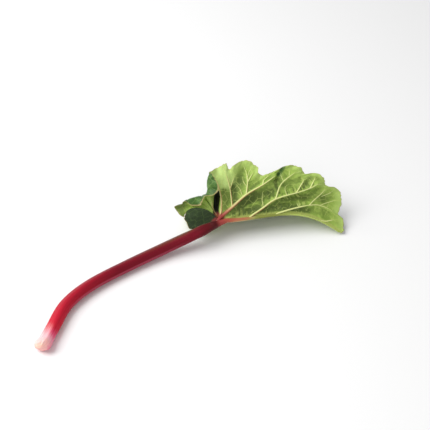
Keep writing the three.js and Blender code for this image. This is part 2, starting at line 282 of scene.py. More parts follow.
class Value:
    """A shader number. Arithmetic on it adds Math nodes."""

    def __init__(self, recipe: "Recipe", socket: bpy.types.NodeSocket) -> None:
        """Wraps a socket of a recipe's node."""
        self.recipe, self.socket = recipe, socket

    def _with(self, operation: str, *values: "Value | float") -> "Value":
        """The result of a Math node on values."""
        node = self.recipe.node("ShaderNodeMath", {"operation": operation}, dict(enumerate(values)))
        return Value(self.recipe, node.outputs[0])

    def __add__(self, other: "Value | float") -> "Value":
        """self + other."""
        return self._with("ADD", self, other)

    __radd__ = __add__

    def __sub__(self, other: "Value | float") -> "Value":
        """self - other."""
        return self._with("SUBTRACT", self, other)

    def __rsub__(self, other: float) -> "Value":
        """other - self."""
        return self._with("SUBTRACT", other, self)

    def __mul__(self, other: "Value | float") -> "Value":
        """self * other."""
        return self._with("MULTIPLY", self, other)

    __rmul__ = __mul__

    def __pow__(self, other: float) -> "Value":
        """self to a power."""
        return self._with("POWER", self, other)

    def eased(self, low: float, high: float) -> "Value":
        """Rises smoothly from 0 to 1.

        Args:
            low: the number up to which it is 0.
            high: the number from which it is 1.

        Returns:
            The new value.
        """
        sockets = {"Value": self, "From Min": low, "From Max": high}
        node = self.recipe.node("ShaderNodeMapRange", {"interpolation_type": "SMOOTHSTEP"}, sockets)
        return Value(self.recipe, node.outputs["Result"])

    def faded(self, low: float, high: float) -> "Value":
        """Falls smoothly from 1 where this is low to 0 where it is high."""
        return 1.0 - self.eased(low, high)

    def spread(self, by: float) -> "Value":
        """Noise of about the middle, turned into a number of about 0 that varies by this much."""
        return (self - NOISE_MIDDLE) * by


@dataclass(frozen=True)
class Wash:
    """A colour laid over what is there: its strength, and the span of the number that it follows."""

    colour: Colour
    share: float = 1.0
    span: Span = (0.0, 1.0)


class Recipe:
    """The nodes of one material."""

    def __init__(self, name: str) -> None:
        """Starts a material with its shader.

        Args:
            name: the material's name.
        """
        self.material = bpy.data.materials.new(name)
        self.material.use_nodes = True
        self.tree = self.material.node_tree
        self.tree.nodes.clear()
        self.shader = self.node("ShaderNodeBsdfPrincipled")
        self.node("ShaderNodeOutputMaterial", None, {"Surface": self.shader.outputs["BSDF"]})

    def node(
        self,
        kind: str,
        settings: dict[str, object] | None = None,
        sockets: dict[str | int, object] | None = None,
    ) -> bpy.types.Node:
        """Adds a node.

        Args:
            kind: the node's type.
            settings: its own settings, set first. "stops" fills a colour ramp.
            sockets: a value or a link for each of its inputs.

        Returns:
            The new node.
        """
        made = self.tree.nodes.new(kind)
        for key, value in (settings or {}).items():
            if key == "stops":
                self._fill(made.color_ramp, value)
            else:
                setattr(made, key, value)
        for key, value in (sockets or {}).items():
            self._feed(made.inputs[key], value)
        return made

    def _fill(self, ramp: bpy.types.ColorRamp, stops: tuple[tuple[float, Colour], ...]) -> None:
        """Sets a ramp's stops.

        Args:
            ramp: a new ramp, which has two.
            stops: two or more places and colours, in order.
        """
        while len(ramp.elements) < len(stops):
            ramp.elements.new(0.5)
        for element, (place, colour) in zip(ramp.elements, stops):
            element.position = place
            element.color = (*colour, 1.0)

    def _feed(self, socket: bpy.types.NodeSocket, value: object) -> None:
        """Links a socket, or sets its number or colour.

        Args:
            socket: an input.
            value: a shader number, an output, a colour or a plain number.
        """
        source = value.socket if isinstance(value, Value) else value
        if isinstance(source, bpy.types.NodeSocket):
            self.tree.links.new(source, socket)
        elif isinstance(source, tuple) and len(source) == 3 and socket.type == "RGBA":
            socket.default_value = (*source, 1.0)
        else:
            socket.default_value = source

    def finish(self, **sockets: object) -> bpy.types.Material:
        """Feeds the shader's inputs.

        Args:
            sockets: a value or a link for each input, under its name with _ for a space.

        Returns:
            The finished material.
        """
        for key, value in sockets.items():
            self._feed(self.shader.inputs[key.replace("_", " ")], value)
        return self.material

    def held(self, name: str) -> Value:
        """A number that the mesh holds at its points."""
        node = self.node("ShaderNodeAttribute", {"attribute_name": name})
        return Value(self, node.outputs["Fac"])

    def held_vector(self, name: str) -> bpy.types.NodeSocket:
        """A vector that the mesh holds at its points."""
        return self.node("ShaderNodeAttribute", {"attribute_name": name}).outputs["Vector"]

    def parts(self, vector: bpy.types.NodeSocket) -> tuple[Value, Value, Value]:
        """The three numbers of a vector."""
        node = self.node("ShaderNodeSeparateXYZ", None, {0: vector})
        return tuple(Value(self, socket) for socket in node.outputs)

    def place(self) -> bpy.types.NodeSocket:
        """The place on the object, in metres."""
        return self.node("ShaderNodeTexCoord").outputs["Object"]

    def stretched(self, vector: bpy.types.NodeSocket, by: Point) -> bpy.types.NodeSocket:
        """A vector with each part multiplied."""
        return self.node("ShaderNodeVectorMath", {"operation": "MULTIPLY"}, {0: vector, 1: by}).outputs[0]

    def noise(self, vector: bpy.types.NodeSocket, scale: float, detail: float = 3.0) -> Value:
        """Soft noise of about the middle, for a vector."""
        node = self.node("ShaderNodeTexNoise", None, {"Vector": vector, "Scale": scale, "Detail": detail})
        return Value(self, node.outputs["Fac"])

    def net(self, vector: bpy.types.NodeSocket, scale: float) -> Value:
        """The distance to the nearest line of a net of cells, for a vector."""
        settings, sockets = {"feature": "DISTANCE_TO_EDGE"}, {"Vector": vector, "Scale": scale}
        return Value(self, self.node("ShaderNodeTexVoronoi", settings, sockets).outputs["Distance"])

    def ramp(self, value: Value, stops: tuple[tuple[float, Colour], ...]) -> bpy.types.NodeSocket:
        """A colour that runs through stops as a value goes from 0 to 1."""
        return self.node("ShaderNodeValToRGB", {"stops": stops}, {"Fac": value}).outputs["Color"]

    def mix(self, share: Value, a: object, b: object, way: str = "MIX") -> bpy.types.NodeSocket:
        """Colour a where the share is 0 and b where it is 1. Sockets 6, 7 and 2 are a Mix's colours."""
        settings = {"data_type": "RGBA", "blend_type": way}
        return self.node("ShaderNodeMix", settings, {0: share, 6: a, 7: b}).outputs[2]

    def washed(self, colour: object, wash: Wash, mask: Value) -> bpy.types.NodeSocket:
        """A colour with a wash over it where the mask is."""
        return self.mix(mask * wash.share, colour, wash.colour)

    def bump(self, height: Value, distance: float, strength: float) -> bpy.types.NodeSocket:
        """The normal of a surface with a height, of a depth in metres."""
        sockets = {"Height": height, "Distance": distance, "Strength": strength}
        return self.node("ShaderNodeBump", None, sockets).outputs["Normal"]


# ---------- finishes ----------


@dataclass(frozen=True)
class StalkSkin:
    """Thin waxy skin: cream at the foot, then pink, then crimson, and browner at the head, darker there
    partly as painted shade.

    The places of the colours are shares of the stalk's length.
    """

    length: float
    foot: Colour = (0.95, 0.50, 0.46)
    blush: Colour = (0.95, 0.42, 0.50)
    pink: Colour = (0.82, 0.075, 0.17)
    red: Colour = (0.62, 0.013, 0.036)
    crimson: Colour = (0.36, 0.008, 0.024)
    wine: Colour = (0.190, 0.005, 0.016)
    # partly painted shade: the head is browner, and also darker as where the leaf shades it
    head: Colour = (0.092, 0.0075, 0.0085)
    places: tuple[float, ...] = (0.004, 0.034, 0.066, 0.096, 0.330, 0.520, 0.900, 0.985)
    streak_stretch: Point = (1.0, 1.0, 0.06)
    streak_scale: float = 5.0
    streak_wander: float = 0.05
    cloud_scale: float = 0.35
    cloud_wander: float = 0.03
    fibre_stretch: Point = (1.0, 1.0, 0.16)
    fibre_scale: float = 26.0
    # painted light: a paler pink wash along the lower side of the stalk, as if lit from the floor below
    under: Wash = Wash((0.46, 0.070, 0.120), 0.6, (0.26, 0.36))
    bounce_light_from: Span = (0.14, 0.30)
    bounce_light_to: Span = (0.70, 0.92)
    sheath: Wash = Wash((0.95, 0.78, 0.74), 0.45, (0.3, 0.9))
    sheath_to: Span = (0.05, 0.12)
    sheath_aside: float = 0.4
    sheath_aside_to: Span = (-0.8, 0.2)
    flush: Wash = Wash((0.84, 0.17, 0.31), 0.6, (-0.8, 0.3))
    flush_to: Span = (0.03, 0.12)
    olive: Wash = Wash((0.105, 0.070, 0.016), 0.6, (0.50, 1.10))
    olive_from: Span = (0.50, 0.95)
    olive_wander: float = 0.5
    fleck: Wash = Wash((0.60, 0.12, 0.12), 0.16, (0.60, 0.76))
    grain: Wash = Wash((0.55, 0.5, 0.5), 0.28, (0.35, 0.7))
    flesh: Wash = Wash((0.93, 0.60, 0.42), 0.55, (-0.1, 0.8))
    roughness: float = 0.48
    streak_rough: float = 0.12
    end_rough: float = 0.2
    streak_height: float = 0.5
    fibre_height: float = 0.35
    bump_depth: float = 0.0005
    bump_strength: float = 0.5
    shine: float = 0.12
    glow: float = 0.08
    glow_depth: float = 0.004
    glow_reach: Point = (1.0, 0.35, 0.3)

    def material(self) -> bpy.types.Material:
        """The skin's nodes.

        Returns:
            A material that reads along, face, low, end and lengthwise from the mesh.
        """
        r = Recipe("stalk_skin")
        along, face, low, end = (r.held(name) for name in ("along", "face", "low", "end"))
        lengthwise = r.held_vector("lengthwise")
        streak = r.noise(r.stretched(lengthwise, self.streak_stretch), self.streak_scale, detail=4.0)
        cloud = r.noise(lengthwise, self.cloud_scale, detail=2.0)
        reach = along * (1.0 / self.length) + streak.spread(self.streak_wander)
        reach = reach + cloud.spread(self.cloud_wander)
        run = (self.foot, self.blush, self.pink, self.red, self.crimson, self.wine, self.wine, self.head)
        colour = r.ramp(reach, tuple(zip(self.places, run)))
        # painted light: the paler pink strip on the low side, where light from the floor would fall
        strip = low.faded(*self.under.span) * reach.eased(*self.bounce_light_from) * reach.faded(*self.bounce_light_to)
        colour = r.washed(colour, self.under, strip)
        aside, _, _ = r.parts(lengthwise)
        lip = face.eased(*self.sheath.span) * reach.faded(*self.sheath_to)
        pale = lip * self.sheath.share + lip * aside.faded(*self.sheath_aside_to) * self.sheath_aside
        colour = r.mix(pale, colour, self.sheath.colour)
        back = face.faded(*self.flush.span) * reach.faded(*self.flush_to) * (1.0 - end)
        colour = r.washed(colour, self.flush, back)
        groove = (face + streak.spread(self.olive_wander)).eased(*self.olive.span)
        colour = r.washed(colour, self.olive, groove * reach.eased(*self.olive_from))
        fibre = r.noise(r.stretched(lengthwise, self.fibre_stretch), self.fibre_scale, detail=2.0)
        colour = r.washed(colour, self.fleck, fibre.eased(*self.fleck.span))
        grain = streak.eased(*self.grain.span) * self.grain.share
        colour = r.mix(grain, colour, self.grain.colour, "MULTIPLY")
        colour = r.washed(colour, self.flesh, end * face.eased(*self.flesh.span))
        height = streak * self.streak_height + fibre * self.fibre_height
        return r.finish(
            Base_Color=colour,
            Roughness=self.roughness + streak.spread(self.streak_rough) + end * self.end_rough,
            Specular_IOR_Level=self.shine,
            Subsurface_Weight=self.glow,
            Subsurface_Scale=self.glow_depth,
            Subsurface_Radius=self.glow_reach,
            Normal=r.bump(height, self.bump_depth, self.bump_strength),
        )


@dataclass(frozen=True)
class RibSkin:
    """The ribs: pinkish red at the knuckle, pale yellow-green further out."""

    # partly painted shade: darker like the stalk's head, as where the leaf shades the knuckle
    head: Colour = (0.074, 0.006, 0.0068)
    knuckle: Colour = (0.34, 0.055, 0.048)
    flush: Colour = (0.50, 0.20, 0.12)
    cream: Colour = (0.70, 0.60, 0.27)
    pale: Colour = (0.70, 0.74, 0.30)
    places: tuple[float, ...] = (0.048, 0.078, 0.105, 0.150, 0.225, 0.360)
    behind: float = 12.0
    reach_scale: float = 0.005
    wander_scale: float = 60.0
    wander: float = 0.03
    flank: Wash = Wash((0.42, 0.08, 0.05), 0.85, (-0.3, 0.6))
    flank_from: Span = (0.08, 0.14)
    flank_to: Span = (0.40, 0.66)
    stem: Wash = Wash((0.20, 0.23, 0.036), 0.9, (52.0, 80.0))
    stem_end: Wash = Wash((0.43, 0.53, 0.125), 1.0, (95.0, 140.0))
    stem_wander: float = 24.0
    grain_scale: float = 900.0
    roughness: float = 0.46
    grain_rough: float = 0.1
    bump_depth: float = 0.0002
    bump_strength: float = 0.4
    shine: float = 0.16
    glow: float = 0.1
    glow_depth: float = 0.003
    glow_reach: Point = (0.8, 0.8, 0.3)

    def material(self) -> bpy.types.Material:
        """The nodes of the ribs.

        Returns:
            A material that reads out, flank and stem from the mesh.
        """
        r = Recipe("rib_skin")
        out, flank, stem = r.held("out"), r.held("flank"), r.held("stem")
        wander = r.noise(r.place(), self.wander_scale)
        reach = (out + self.behind) * self.reach_scale + wander.spread(self.wander)
        run = (self.head, self.knuckle, self.knuckle, self.flush, self.cream, self.pale)
        colour = r.ramp(reach, tuple(zip(self.places, run)))
        blush = flank.eased(*self.flank.span) * reach.faded(*self.flank_to) * reach.eased(*self.flank_from)
        colour = r.washed(colour, self.flank, blush)
        olive = r.mix(out.eased(*self.stem_end.span), self.stem.colour, self.stem_end.colour)
        green = stem * (out + wander * self.stem_wander).eased(*self.stem.span)
        colour = r.mix(green * self.stem.share, colour, olive)
        grain = r.noise(r.place(), self.grain_scale, detail=2.0)
        return r.finish(
            Base_Color=colour,
            Roughness=self.roughness + grain.spread(self.grain_rough),
            Specular_IOR_Level=self.shine,
            Subsurface_Weight=self.glow,
            Subsurface_Scale=self.glow_depth,
            Subsurface_Radius=self.glow_reach,
            Normal=r.bump(grain, self.bump_depth, self.bump_strength),
        )


class LeafMarks:
    """The numbers that the blade's finish goes by: held by the mesh, or noise over the leaf."""

    cloud_scale: float = 0.045
    blotch_scale: float = 0.16
    fine_scale: float = 0.33
    finest_scale: float = 0.85
    line_span: Span = (0.0, 0.11)
    hair_span: Span = (0.0, 0.10)
    vein_span: Span = (0.15, 0.95)

    def __init__(self, r: Recipe) -> None:
        """Reads the mesh and adds the noise.

        Args:
            r: the blade's recipe.
        """
        leaf = r.held_vector("leaf")
        names = ("above", "deep", "vein", "rib", "rung", "edge")
        self.above, self.deep, self.vein, self.rib, self.rung, self.edge = map(r.held, names)
        self.ahead, self.off, self.far = r.parts(leaf)
        self.cloud = r.noise(leaf, self.cloud_scale)
        self.blotch = r.noise(leaf, self.blotch_scale)
        self.fine = r.net(leaf, self.fine_scale)
        self.finest = r.net(leaf, self.finest_scale)
        self.line = self.fine.faded(*self.line_span)
        self.hair = self.finest.faded(*self.hair_span)
        self.main = self.vein.faded(*self.vein_span)


@dataclass(frozen=True)
class LeafSkin:
    """The blade: matt and light green below, darker and glossier above, with paler veins."""

    light: Colour = (0.37, 0.53, 0.095)
    green: Wash = Wash((0.185, 0.295, 0.040), 0.75, (0.35, 0.68))
    green_least: float = 0.25
    green_wander: float = 0.5
    inland: Span = (4.0, 46.0)
    # painted shade: a darker green laid where the held deep value says a point lies in a pocket or in shade
    sunk: Wash = Wash((0.072, 0.115, 0.016), 0.65, (0.25, 1.15))
    pocket_shade_least: float = 0.3
    pocket_shade_wander: float = 0.4
    # painted shade: near black, for the deep shade in the hollow beside the leaf base and in the rolled lobe
    deep_shade: Wash = Wash((0.006, 0.008, 0.003), 1.0, (1.15, 2.2))
    # painted sheen: a pale wash on the top of the basal lobe, as if lit
    lobe_sheen: Wash = Wash((0.56, 0.73, 0.24), 0.85, (44.0, 60.0))
    lobe_sheen_ahead: Span = (2.0, 34.0)
    lobe_sheen_deep: Span = (0.7, 1.4)
    shore: Wash = Wash((0.56, 0.73, 0.24), 0.42, (0.0, 18.0))
    shore_deep: Span = (0.5, 1.1)
    # painted shadow: dark green in the narrow valley beside each rung
    rung: Wash = Wash((0.072, 0.115, 0.016), 0.95, (0.08, 0.55))
    vein: Colour = (0.50, 0.60, 0.15)
    line_share: float = 0.08
    hair_share: float = 0.04
    main_share: float = 0.55
    strip: Wash = Wash((0.42, 0.47, 0.12), 0.8, (2.5, 6.5))
    strip_deep: Span = (0.9, 1.4)
    upper: Colour = (0.040, 0.100, 0.018)
    upper_light: Wash = Wash((0.095, 0.200, 0.040), 1.0, (0.35, 0.7))
    upper_wander: float = 0.6
    # painted shade: the far half's upper side made darker, as where the near half shades it
    far_half_shade: Wash = Wash((0.010, 0.021, 0.003), 0.9, (0.0, 50.0))
    upper_vein: Colour = (0.20, 0.33, 0.08)
    upper_line_share: float = 0.12
    upper_main_share: float = 0.5
    upper_vein_far: float = 0.015
    ruby: Wash = Wash((0.42, 0.075, 0.06), 0.7, (1.2, 3.0))
    ruby_to: Span = (10.0, 70.0)
    root: Wash = Wash((0.24, 0.030, 0.026), 0.9, (7.5, 14.0))
    rim: Wash = Wash((0.52, 0.40, 0.17), 0.7, (0.3, 1.4))
    fine_pillow: Span = (0.0, 0.35)
    finest_pillow: Span = (0.0, 0.3)
    fine_height: float = 0.7
    finest_height: float = 0.3
    roughness: float = 0.52
    gloss_above: float = 0.16
    far_rough: float = 0.006
    blotch_rough: float = 0.1
    bump_depth: float = 0.0006
    bump_strength: float = 0.45
    shine: float = 0.25

    def _under(self, r: Recipe, m: LeafMarks) -> bpy.types.NodeSocket:
        """The colour of the underside.

        Args:
            r: the blade's recipe.
            m: the numbers that it goes by.

        Returns:
            The colour's socket.
        """
        inland = m.edge.eased(*self.inland)
        patch = (m.cloud + m.blotch.spread(self.green_wander)).eased(*self.green.span)
        colour = r.mix(patch * (inland * self.green.share + self.green_least), self.light, self.green.colour)
        # painted shade: darker green in the pockets and in the shade beside the ribs
        sunk = (m.deep + m.blotch.spread(self.pocket_shade_wander)).eased(*self.sunk.span)
        colour = r.mix(sunk * (inland * self.sunk.share + self.pocket_shade_least), colour, self.sunk.colour)
        # painted sheen: the top of the basal lobe made paler
        top = m.ahead.faded(*self.lobe_sheen_ahead) * m.off.eased(*self.lobe_sheen.span)
        colour = r.washed(colour, self.lobe_sheen, top * m.deep.faded(*self.lobe_sheen_deep))
        shore = m.edge.faded(*self.shore.span) * m.deep.faded(*self.shore_deep)
        colour = r.washed(colour, self.shore, shore)
        # painted shadow beside the rungs, where the pleats dip
        colour = r.washed(colour, self.rung, m.rung.eased(*self.rung.span))
        colour = r.mix(m.line * self.line_share + m.hair * self.hair_share, colour, self.vein)
        colour = r.mix(m.main * self.main_share, colour, self.vein)
        strip = m.off.faded(*self.strip.span) * m.deep.faded(*self.strip_deep)
        colour = r.washed(colour, self.strip, strip)
        # painted shade: near black where the held deep value is highest
        return r.mix(m.deep.eased(*self.deep_shade.span), colour, self.deep_shade.colour)

    def _upper(self, r: Recipe, m: LeafMarks, away: Value) -> bpy.types.NodeSocket:
        """The colour of the upper side.

        Args:
            r: the blade's recipe.
            m: the numbers that it goes by.
            away: the distance from the leaf base.

        Returns:
            The colour's socket.
        """
        light = (m.cloud + m.blotch.spread(self.upper_wander)).eased(*self.upper_light.span)
        colour = r.mix(light, self.upper, self.upper_light.colour)
        # painted shade on the far half's upper side
        colour = r.washed(colour, self.far_half_shade, m.far.eased(*self.far_half_shade.span))
        veins = m.line * self.upper_line_share + m.main * self.upper_main_share
        colour = r.mix(veins * (1.0 - m.far * self.upper_vein_far), colour, self.upper_vein)
        return r.washed(colour, self.ruby, away.faded(*self.ruby_to) * m.rib.faded(*self.ruby.span))

    def material(self) -> bpy.types.Material:
        """The nodes of the blade.

        Returns:
            A material that reads leaf, above, deep, vein, rib, rung and edge from the mesh.
        """
        r = Recipe("leaf_skin")
        m = LeafMarks(r)
        away = (m.ahead * m.ahead + m.off * m.off) ** 0.5
        colour = r.mix(m.above, self._under(r, m), self._upper(r, m, away))
        colour = r.washed(colour, self.root, away.faded(*self.root.span))
        colour = r.washed(colour, self.rim, m.edge.faded(*self.rim.span))
        fine = m.fine.eased(*self.fine_pillow) * self.fine_height
        pillow = fine + m.finest.eased(*self.finest_pillow) * self.finest_height
        gloss = self.roughness - m.above * self.gloss_above + m.above * m.far * self.far_rough
        return r.finish(
            Base_Color=colour,
            Roughness=gloss + m.blotch.spread(self.blotch_rough),
            Specular_IOR_Level=self.shine,
            Normal=r.bump(pillow * (m.above * 2.0 - 1.0), self.bump_depth, self.bump_strength),
        )


@dataclass(frozen=True)
class FloorPaint:
    """The plain floor, a matt white with the faintest unevenness."""

    colour: Colour = (0.93, 0.93, 0.93)
    grain_scale: float = 40.0
    roughness: float = 0.7
    grain_rough: float = 0.05

    def material(self) -> bpy.types.Material:
        """The floor's nodes.

        Returns:
            A material that reads nothing from the mesh.
        """
        r = Recipe("floor_paint")
        grain = r.noise(r.place(), self.grain_scale, detail=2.0)
        return r.finish(Base_Color=self.colour, Roughness=self.roughness + grain.spread(self.grain_rough))


# ---------- the stalk ----------


@dataclass
class Stalk:
    """The leaf stalk, from its splayed foot to the knuckle under the leaf."""

    path: tuple[Point, ...] = (
        (-356, -96, 12.6), (-327, -68, 11.6), (-290, -33, 11.6), (-240, -12, 11.2),
        (-170, 0, 10.6), (-100, 4.5, 15), (-45, 1, 26.5), (-11, -2, 34.5),
    )
    half_width: float = 11.2
    half_depth: float = 9.8
    roll: float = 52.0
    head_roll: float = 24.0
    roll_reach: float = 60.0
    groove: float = 1.1
    power: float = 0.72
    foot_reach: float = 17.0
    foot_wider: float = 3.2
    foot_deeper: float = 2.4
    foot_groove: float = 3.4
    foot_groove_reach: float = 32.0
    foot_groove_from: float = -4.0
    foot_round: float = 7.0
    foot_end: float = 0.7
    foot_dome: float = 3.4
    foot_dome_power: int = 4
    foot_caps: tuple[float, ...] = (0.96, 0.88, 0.76, 0.6, 0.4, 0.2)
    torn_reach: float = 9.0
    torn_waves: tuple[int, ...] = (2, 3, 5, 8, 13)
    torn_height: Span = (0.2, 0.7)
    torn_phase: float = 6.3
    torn_edge: float = 0.6
    neck_reach: float = 26.0
    neck_slimmer: float = 0.3
    tucked_in: float = 0.93
    ridges: int = 30
    ridge_height: float = 0.16
    groove_ridges: float = 0.3
    foot_ridges: float = 0.5
    lengthwise_scale: float = 0.1
    ring_step: float = 1.1
    sides: int = 96

    def __post_init__(self) -> None:
        """Works out the middle line."""
        self.line = Spline(np.array(self.path, float))
        self.length = self.line.length()

    def _sizes(self, distance: Array) -> tuple[Array, Array, Array]:
        """The section's sizes at distances from the foot.

        Args:
            distance: one number for each ring.

        Returns:
            Half its width, half its depth and the depth of its groove.
        """
        foot = bell(distance, self.foot_reach)
        neck = 1 - self.neck_slimmer * ease(distance, self.length - self.neck_reach, self.length)
        into = np.maximum(0.0, 1 - distance / self.foot_round)
        rounded = np.sqrt(1 - (1 - self.foot_end**2) * into**2)
        width = (self.half_width + self.foot_wider * foot) * neck * rounded
        depth = (self.half_depth + self.foot_deeper * foot) * neck * rounded
        groove = self.groove + self.foot_groove * bell(distance, self.foot_groove_reach)
        return width, depth, groove * ease(distance, self.foot_groove_from, self.foot_reach)

    def rings(self, distance: Array, ridged: float = 1.0) -> tuple[Array, Array, Array]:
        """The section's points at distances from the foot.

        Args:
            distance: one number for each ring.
            ridged: the share of the ridges' height.

        Returns:
            Rings by points by 3, and how far each point faces out of the groove and sideways.
        """
        centre, along = self.line.along(distance)
        level = unit(np.cross(UP, along))
        over = np.cross(along, level)
        roll = between(self.roll, self.head_roll, ease(distance, self.length - self.roll_reach, self.length))
        face = turned(level, over, roll)
        side = np.cross(along, face)
        width, depth, groove = self._sizes(distance)
        turn = turns(self.sides)
        c, s = np.cos(turn), np.sin(turn)
        across = np.sign(c) * np.abs(c) ** self.power
        height = np.sign(s) * np.abs(s) ** self.power
        hollow = np.where(s > 0, 1 - across**2, 0.0)
        wave = np.cos(turn * self.ridges) * np.where(s > self.groove_ridges, self.groove_ridges, 1.0) * ridged
        low = 1 - self.foot_ridges * bell(distance, self.foot_reach)[:, None]
        swell = self.ridge_height * wave[None] * low
        reach_x = width[:, None] * across + swell * c
        reach_y = depth[:, None] * height - groove[:, None] * hollow + swell * s
        points = centre[:, None] + side[:, None] * reach_x[..., None] + face[:, None] * reach_y[..., None]
        points[..., 2] = np.maximum(points[..., 2], 0.0)
        shape = (len(distance), self.sides)
        return points, np.broadcast_to(height, shape), np.broadcast_to(across, shape)

    def _torn(self) -> Array:
        """How far the torn end stands out beyond a clean cut, round the section.

        Returns:
            One distance for each side.
        """
        turn, rng = turns(self.sides), np.random.default_rng(SEED)
        return sum(
            rng.uniform(*self.torn_height) * np.sin(k * turn + rng.uniform(0, self.torn_phase))
            for k in self.torn_waves
        )

    def _dome(self, first: Array, along: Array) -> Array:
        """The rings of the low dome that closes the foot, from its middle out.

        Args:
            first: the stalk's first ring, with its torn edge.
            along: the stalk's direction there.

        Returns:
            Rings by points by 3.
        """
        centre = first.mean(axis=0)
        even, _, _ = self.rings(np.zeros(1), 0.0)
        caps = []
        for share in reversed(self.foot_caps):
            domed = math.sqrt(1 - share**2) * self.foot_dome
            ring = between(even[0], first + along * domed, share**self.foot_dome_power)
            caps.append(centre + (ring - centre) * share - along * domed)
        return np.array(caps)

    def shell(self) -> Shell:
        """The whole stalk, with its torn end.

        Returns:
            The mesh, with along, face, low, end and lengthwise held at its points.
        """
        distance = np.append(np.arange(0.0, self.length, self.ring_step), self.length)
        points, face, across = self.rings(distance)
        _, along = self.line.along(distance)
        pull = bell(distance, self.torn_reach)[:, None] * self._torn()
        points = points - along[:, None] * pull[..., None]
        points[..., 2] = np.maximum(points[..., 2], 0.0)
        last = points[-1].mean(axis=0)
        points[-1] = last + (points[-1] - last) * self.tucked_in
        rings = np.concatenate([self._dome(points[0], along[0]), points])
        source = np.maximum(np.arange(len(rings)) - len(self.foot_caps), 0)
        end = np.where(np.arange(len(rings)) < len(self.foot_caps), 1.0, 0.0)
        end[len(self.foot_caps)] = self.torn_edge
        reached = np.repeat(distance[source, None], self.sides, axis=1)
        face, across = face[source], across[source]
        values = {
            "along": reached,
            "face": face,
            "low": (rings[..., 2] - rings[..., 2].mean(axis=1, keepdims=True)) / self.half_width,
            "end": np.repeat(end[:, None], self.sides, axis=1),
            "lengthwise": np.stack([across, face, reached * self.lengthwise_scale], axis=-1),
        }
        return tube(rings + np.array(SET_DOWN), values)

    def make(self, finish: StalkSkin) -> bpy.types.Object:
        """Makes the stalk's piece, in place of the plain solid.

        Args:
            finish: the stalk's skin.

        Returns:
            The piece.
        """
        piece = self.shell().piece("stalk", finish.material())
        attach(piece, BODY)
        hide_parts("petiole")
        return piece


# ---------- the leaf ----------


class Side(Enum):
    """The two halves of the leaf."""

    NEAR = "near"
    FAR = "far"


@dataclass(frozen=True)
class Rib:
    """A rib in the plane of a half: its path and its width at each end."""

    path: Route
    wide: Span = (1.0, 1.0)
    main: bool = False


@dataclass(frozen=True)
class Half:
    """A half of the leaf: its directions, its slow waves, its hollow and its margin."""

    side: Side
    across: Array
    under: Array
    frill: Point
    hollow: float
    margin: Margin


# the midrib's path on the blade, for the rungs that leave it
MIDRIB_PATH: Route = ((0, 0), (214, 0))

# the ribs of each half with their branches, less the midrib; the blade sinks between the main ones
RIBS = (
    Rib(((0, 0), (21, 21), (42, 42), (68, 60), (88, 79)), (6.2, 1.8), True),
    Rib(((0, 0), (3, 12), (1, 33), (-4, 49), (-10, 63)), (3.6, 1.4), True),
    Rib(((52, 0), (73, 14), (93, 29), (127, 43), (149, 58), (161, 71)), (4.4, 1.6), True),
    Rib(((96, 0), (131, 12), (152, 21)), (3.6, 2.0), True),
    Rib(((152, 21), (168, 46), (177, 64)), (2.0, 1.3)),
    Rib(((152, 21), (169, 27), (190, 29)), (2.0, 1.3)),
    Rib(((172, 0), (184, 4), (199, 15)), (1.8, 1.2)),
    Rib(((21, 21), (14, 52), (3, 78)), (2.6, 1.3)),
    Rib(((14, 52), (19, 74)), (1.8, 1.2)),
    Rib(((42, 42), (42, 65), (38, 84)), (2.6, 1.3)),
    Rib(((42, 65), (49, 82)), (1.8, 1.2)),
    Rib(((68, 60), (69, 69), (76, 78)), (2.0, 1.2)),
    Rib(((93, 29), (100, 62), (121, 88)), (2.6, 1.3)),
    Rib(((127, 43), (138, 76)), (2.2, 1.3)),
    Rib(((149, 58), (156, 84)), (2.0, 1.2)),
)

# thin side veins of each half, too fine to lift the blade
VEINLETS = (
    Rib(((70, 68), (66, 75)), (1.0, 0.5)),
    Rib(((190, 29), (200, 25)), (1.2, 0.5)),
    Rib(((172, 28), (186, 40), (198, 50), (205, 52)), (1.2, 0.5)),
    Rib(((172, 46), (187, 60), (193, 69)), (1.2, 0.5)),
    Rib(((74, 16), (71, 30), (70, 46)), (1.3, 0.5)),
    Rib(((112, 35), (107, 52), (110, 60)), (1.0, 0.5)),
    Rib(((125, 42), (124, 54)), (1.0, 0.5)),
    Rib(((135, 13), (134, 30)), (1.2, 0.5)),
    Rib(((134, 13), (130, 24)), (1.0, 0.5)),
    Rib(((37, 38), (31, 52), (24, 60)), (1.1, 0.5)),
    Rib(((42, 56), (35, 66), (33, 74)), (1.1, 0.5)),
    Rib(((14, 60), (8, 77)), (1.0, 0.5)),
    Rib(((38, 82), (32, 95)), (1.1, 0.5)),
    Rib(((41, 70), (43, 84), (48, 93)), (1.0, 0.5)),
    Rib(((76, 78), (81, 83)), (1.0, 0.5)),
    Rib(((104, 66), (98, 80), (96, 88)), (1.1, 0.5)),
    Rib(((112, 79), (112, 94)), (1.1, 0.5)),
    Rib(((121, 87), (131, 91)), (1.1, 0.5)),
    Rib(((137, 70), (134, 82)), (1.0, 0.5)),
    Rib(((160, 70), (170, 72), (176, 70)), (1.1, 0.5)),
    Rib(((155, 78), (162, 85)), (1.0, 0.5)),
    Rib(((177, 62), (183, 69)), (1.1, 0.5)),
    Rib(((182, 26), (189, 36)), (1.0, 0.5)),
    Rib(((198, 14), (207, 20)), (1.0, 0.5)),
    Rib(((22, 90), (26, 97)), (1.0, 0.5)),
    Rib(((3, 77), (-1, 89)), (1.0, 0.5)),
)

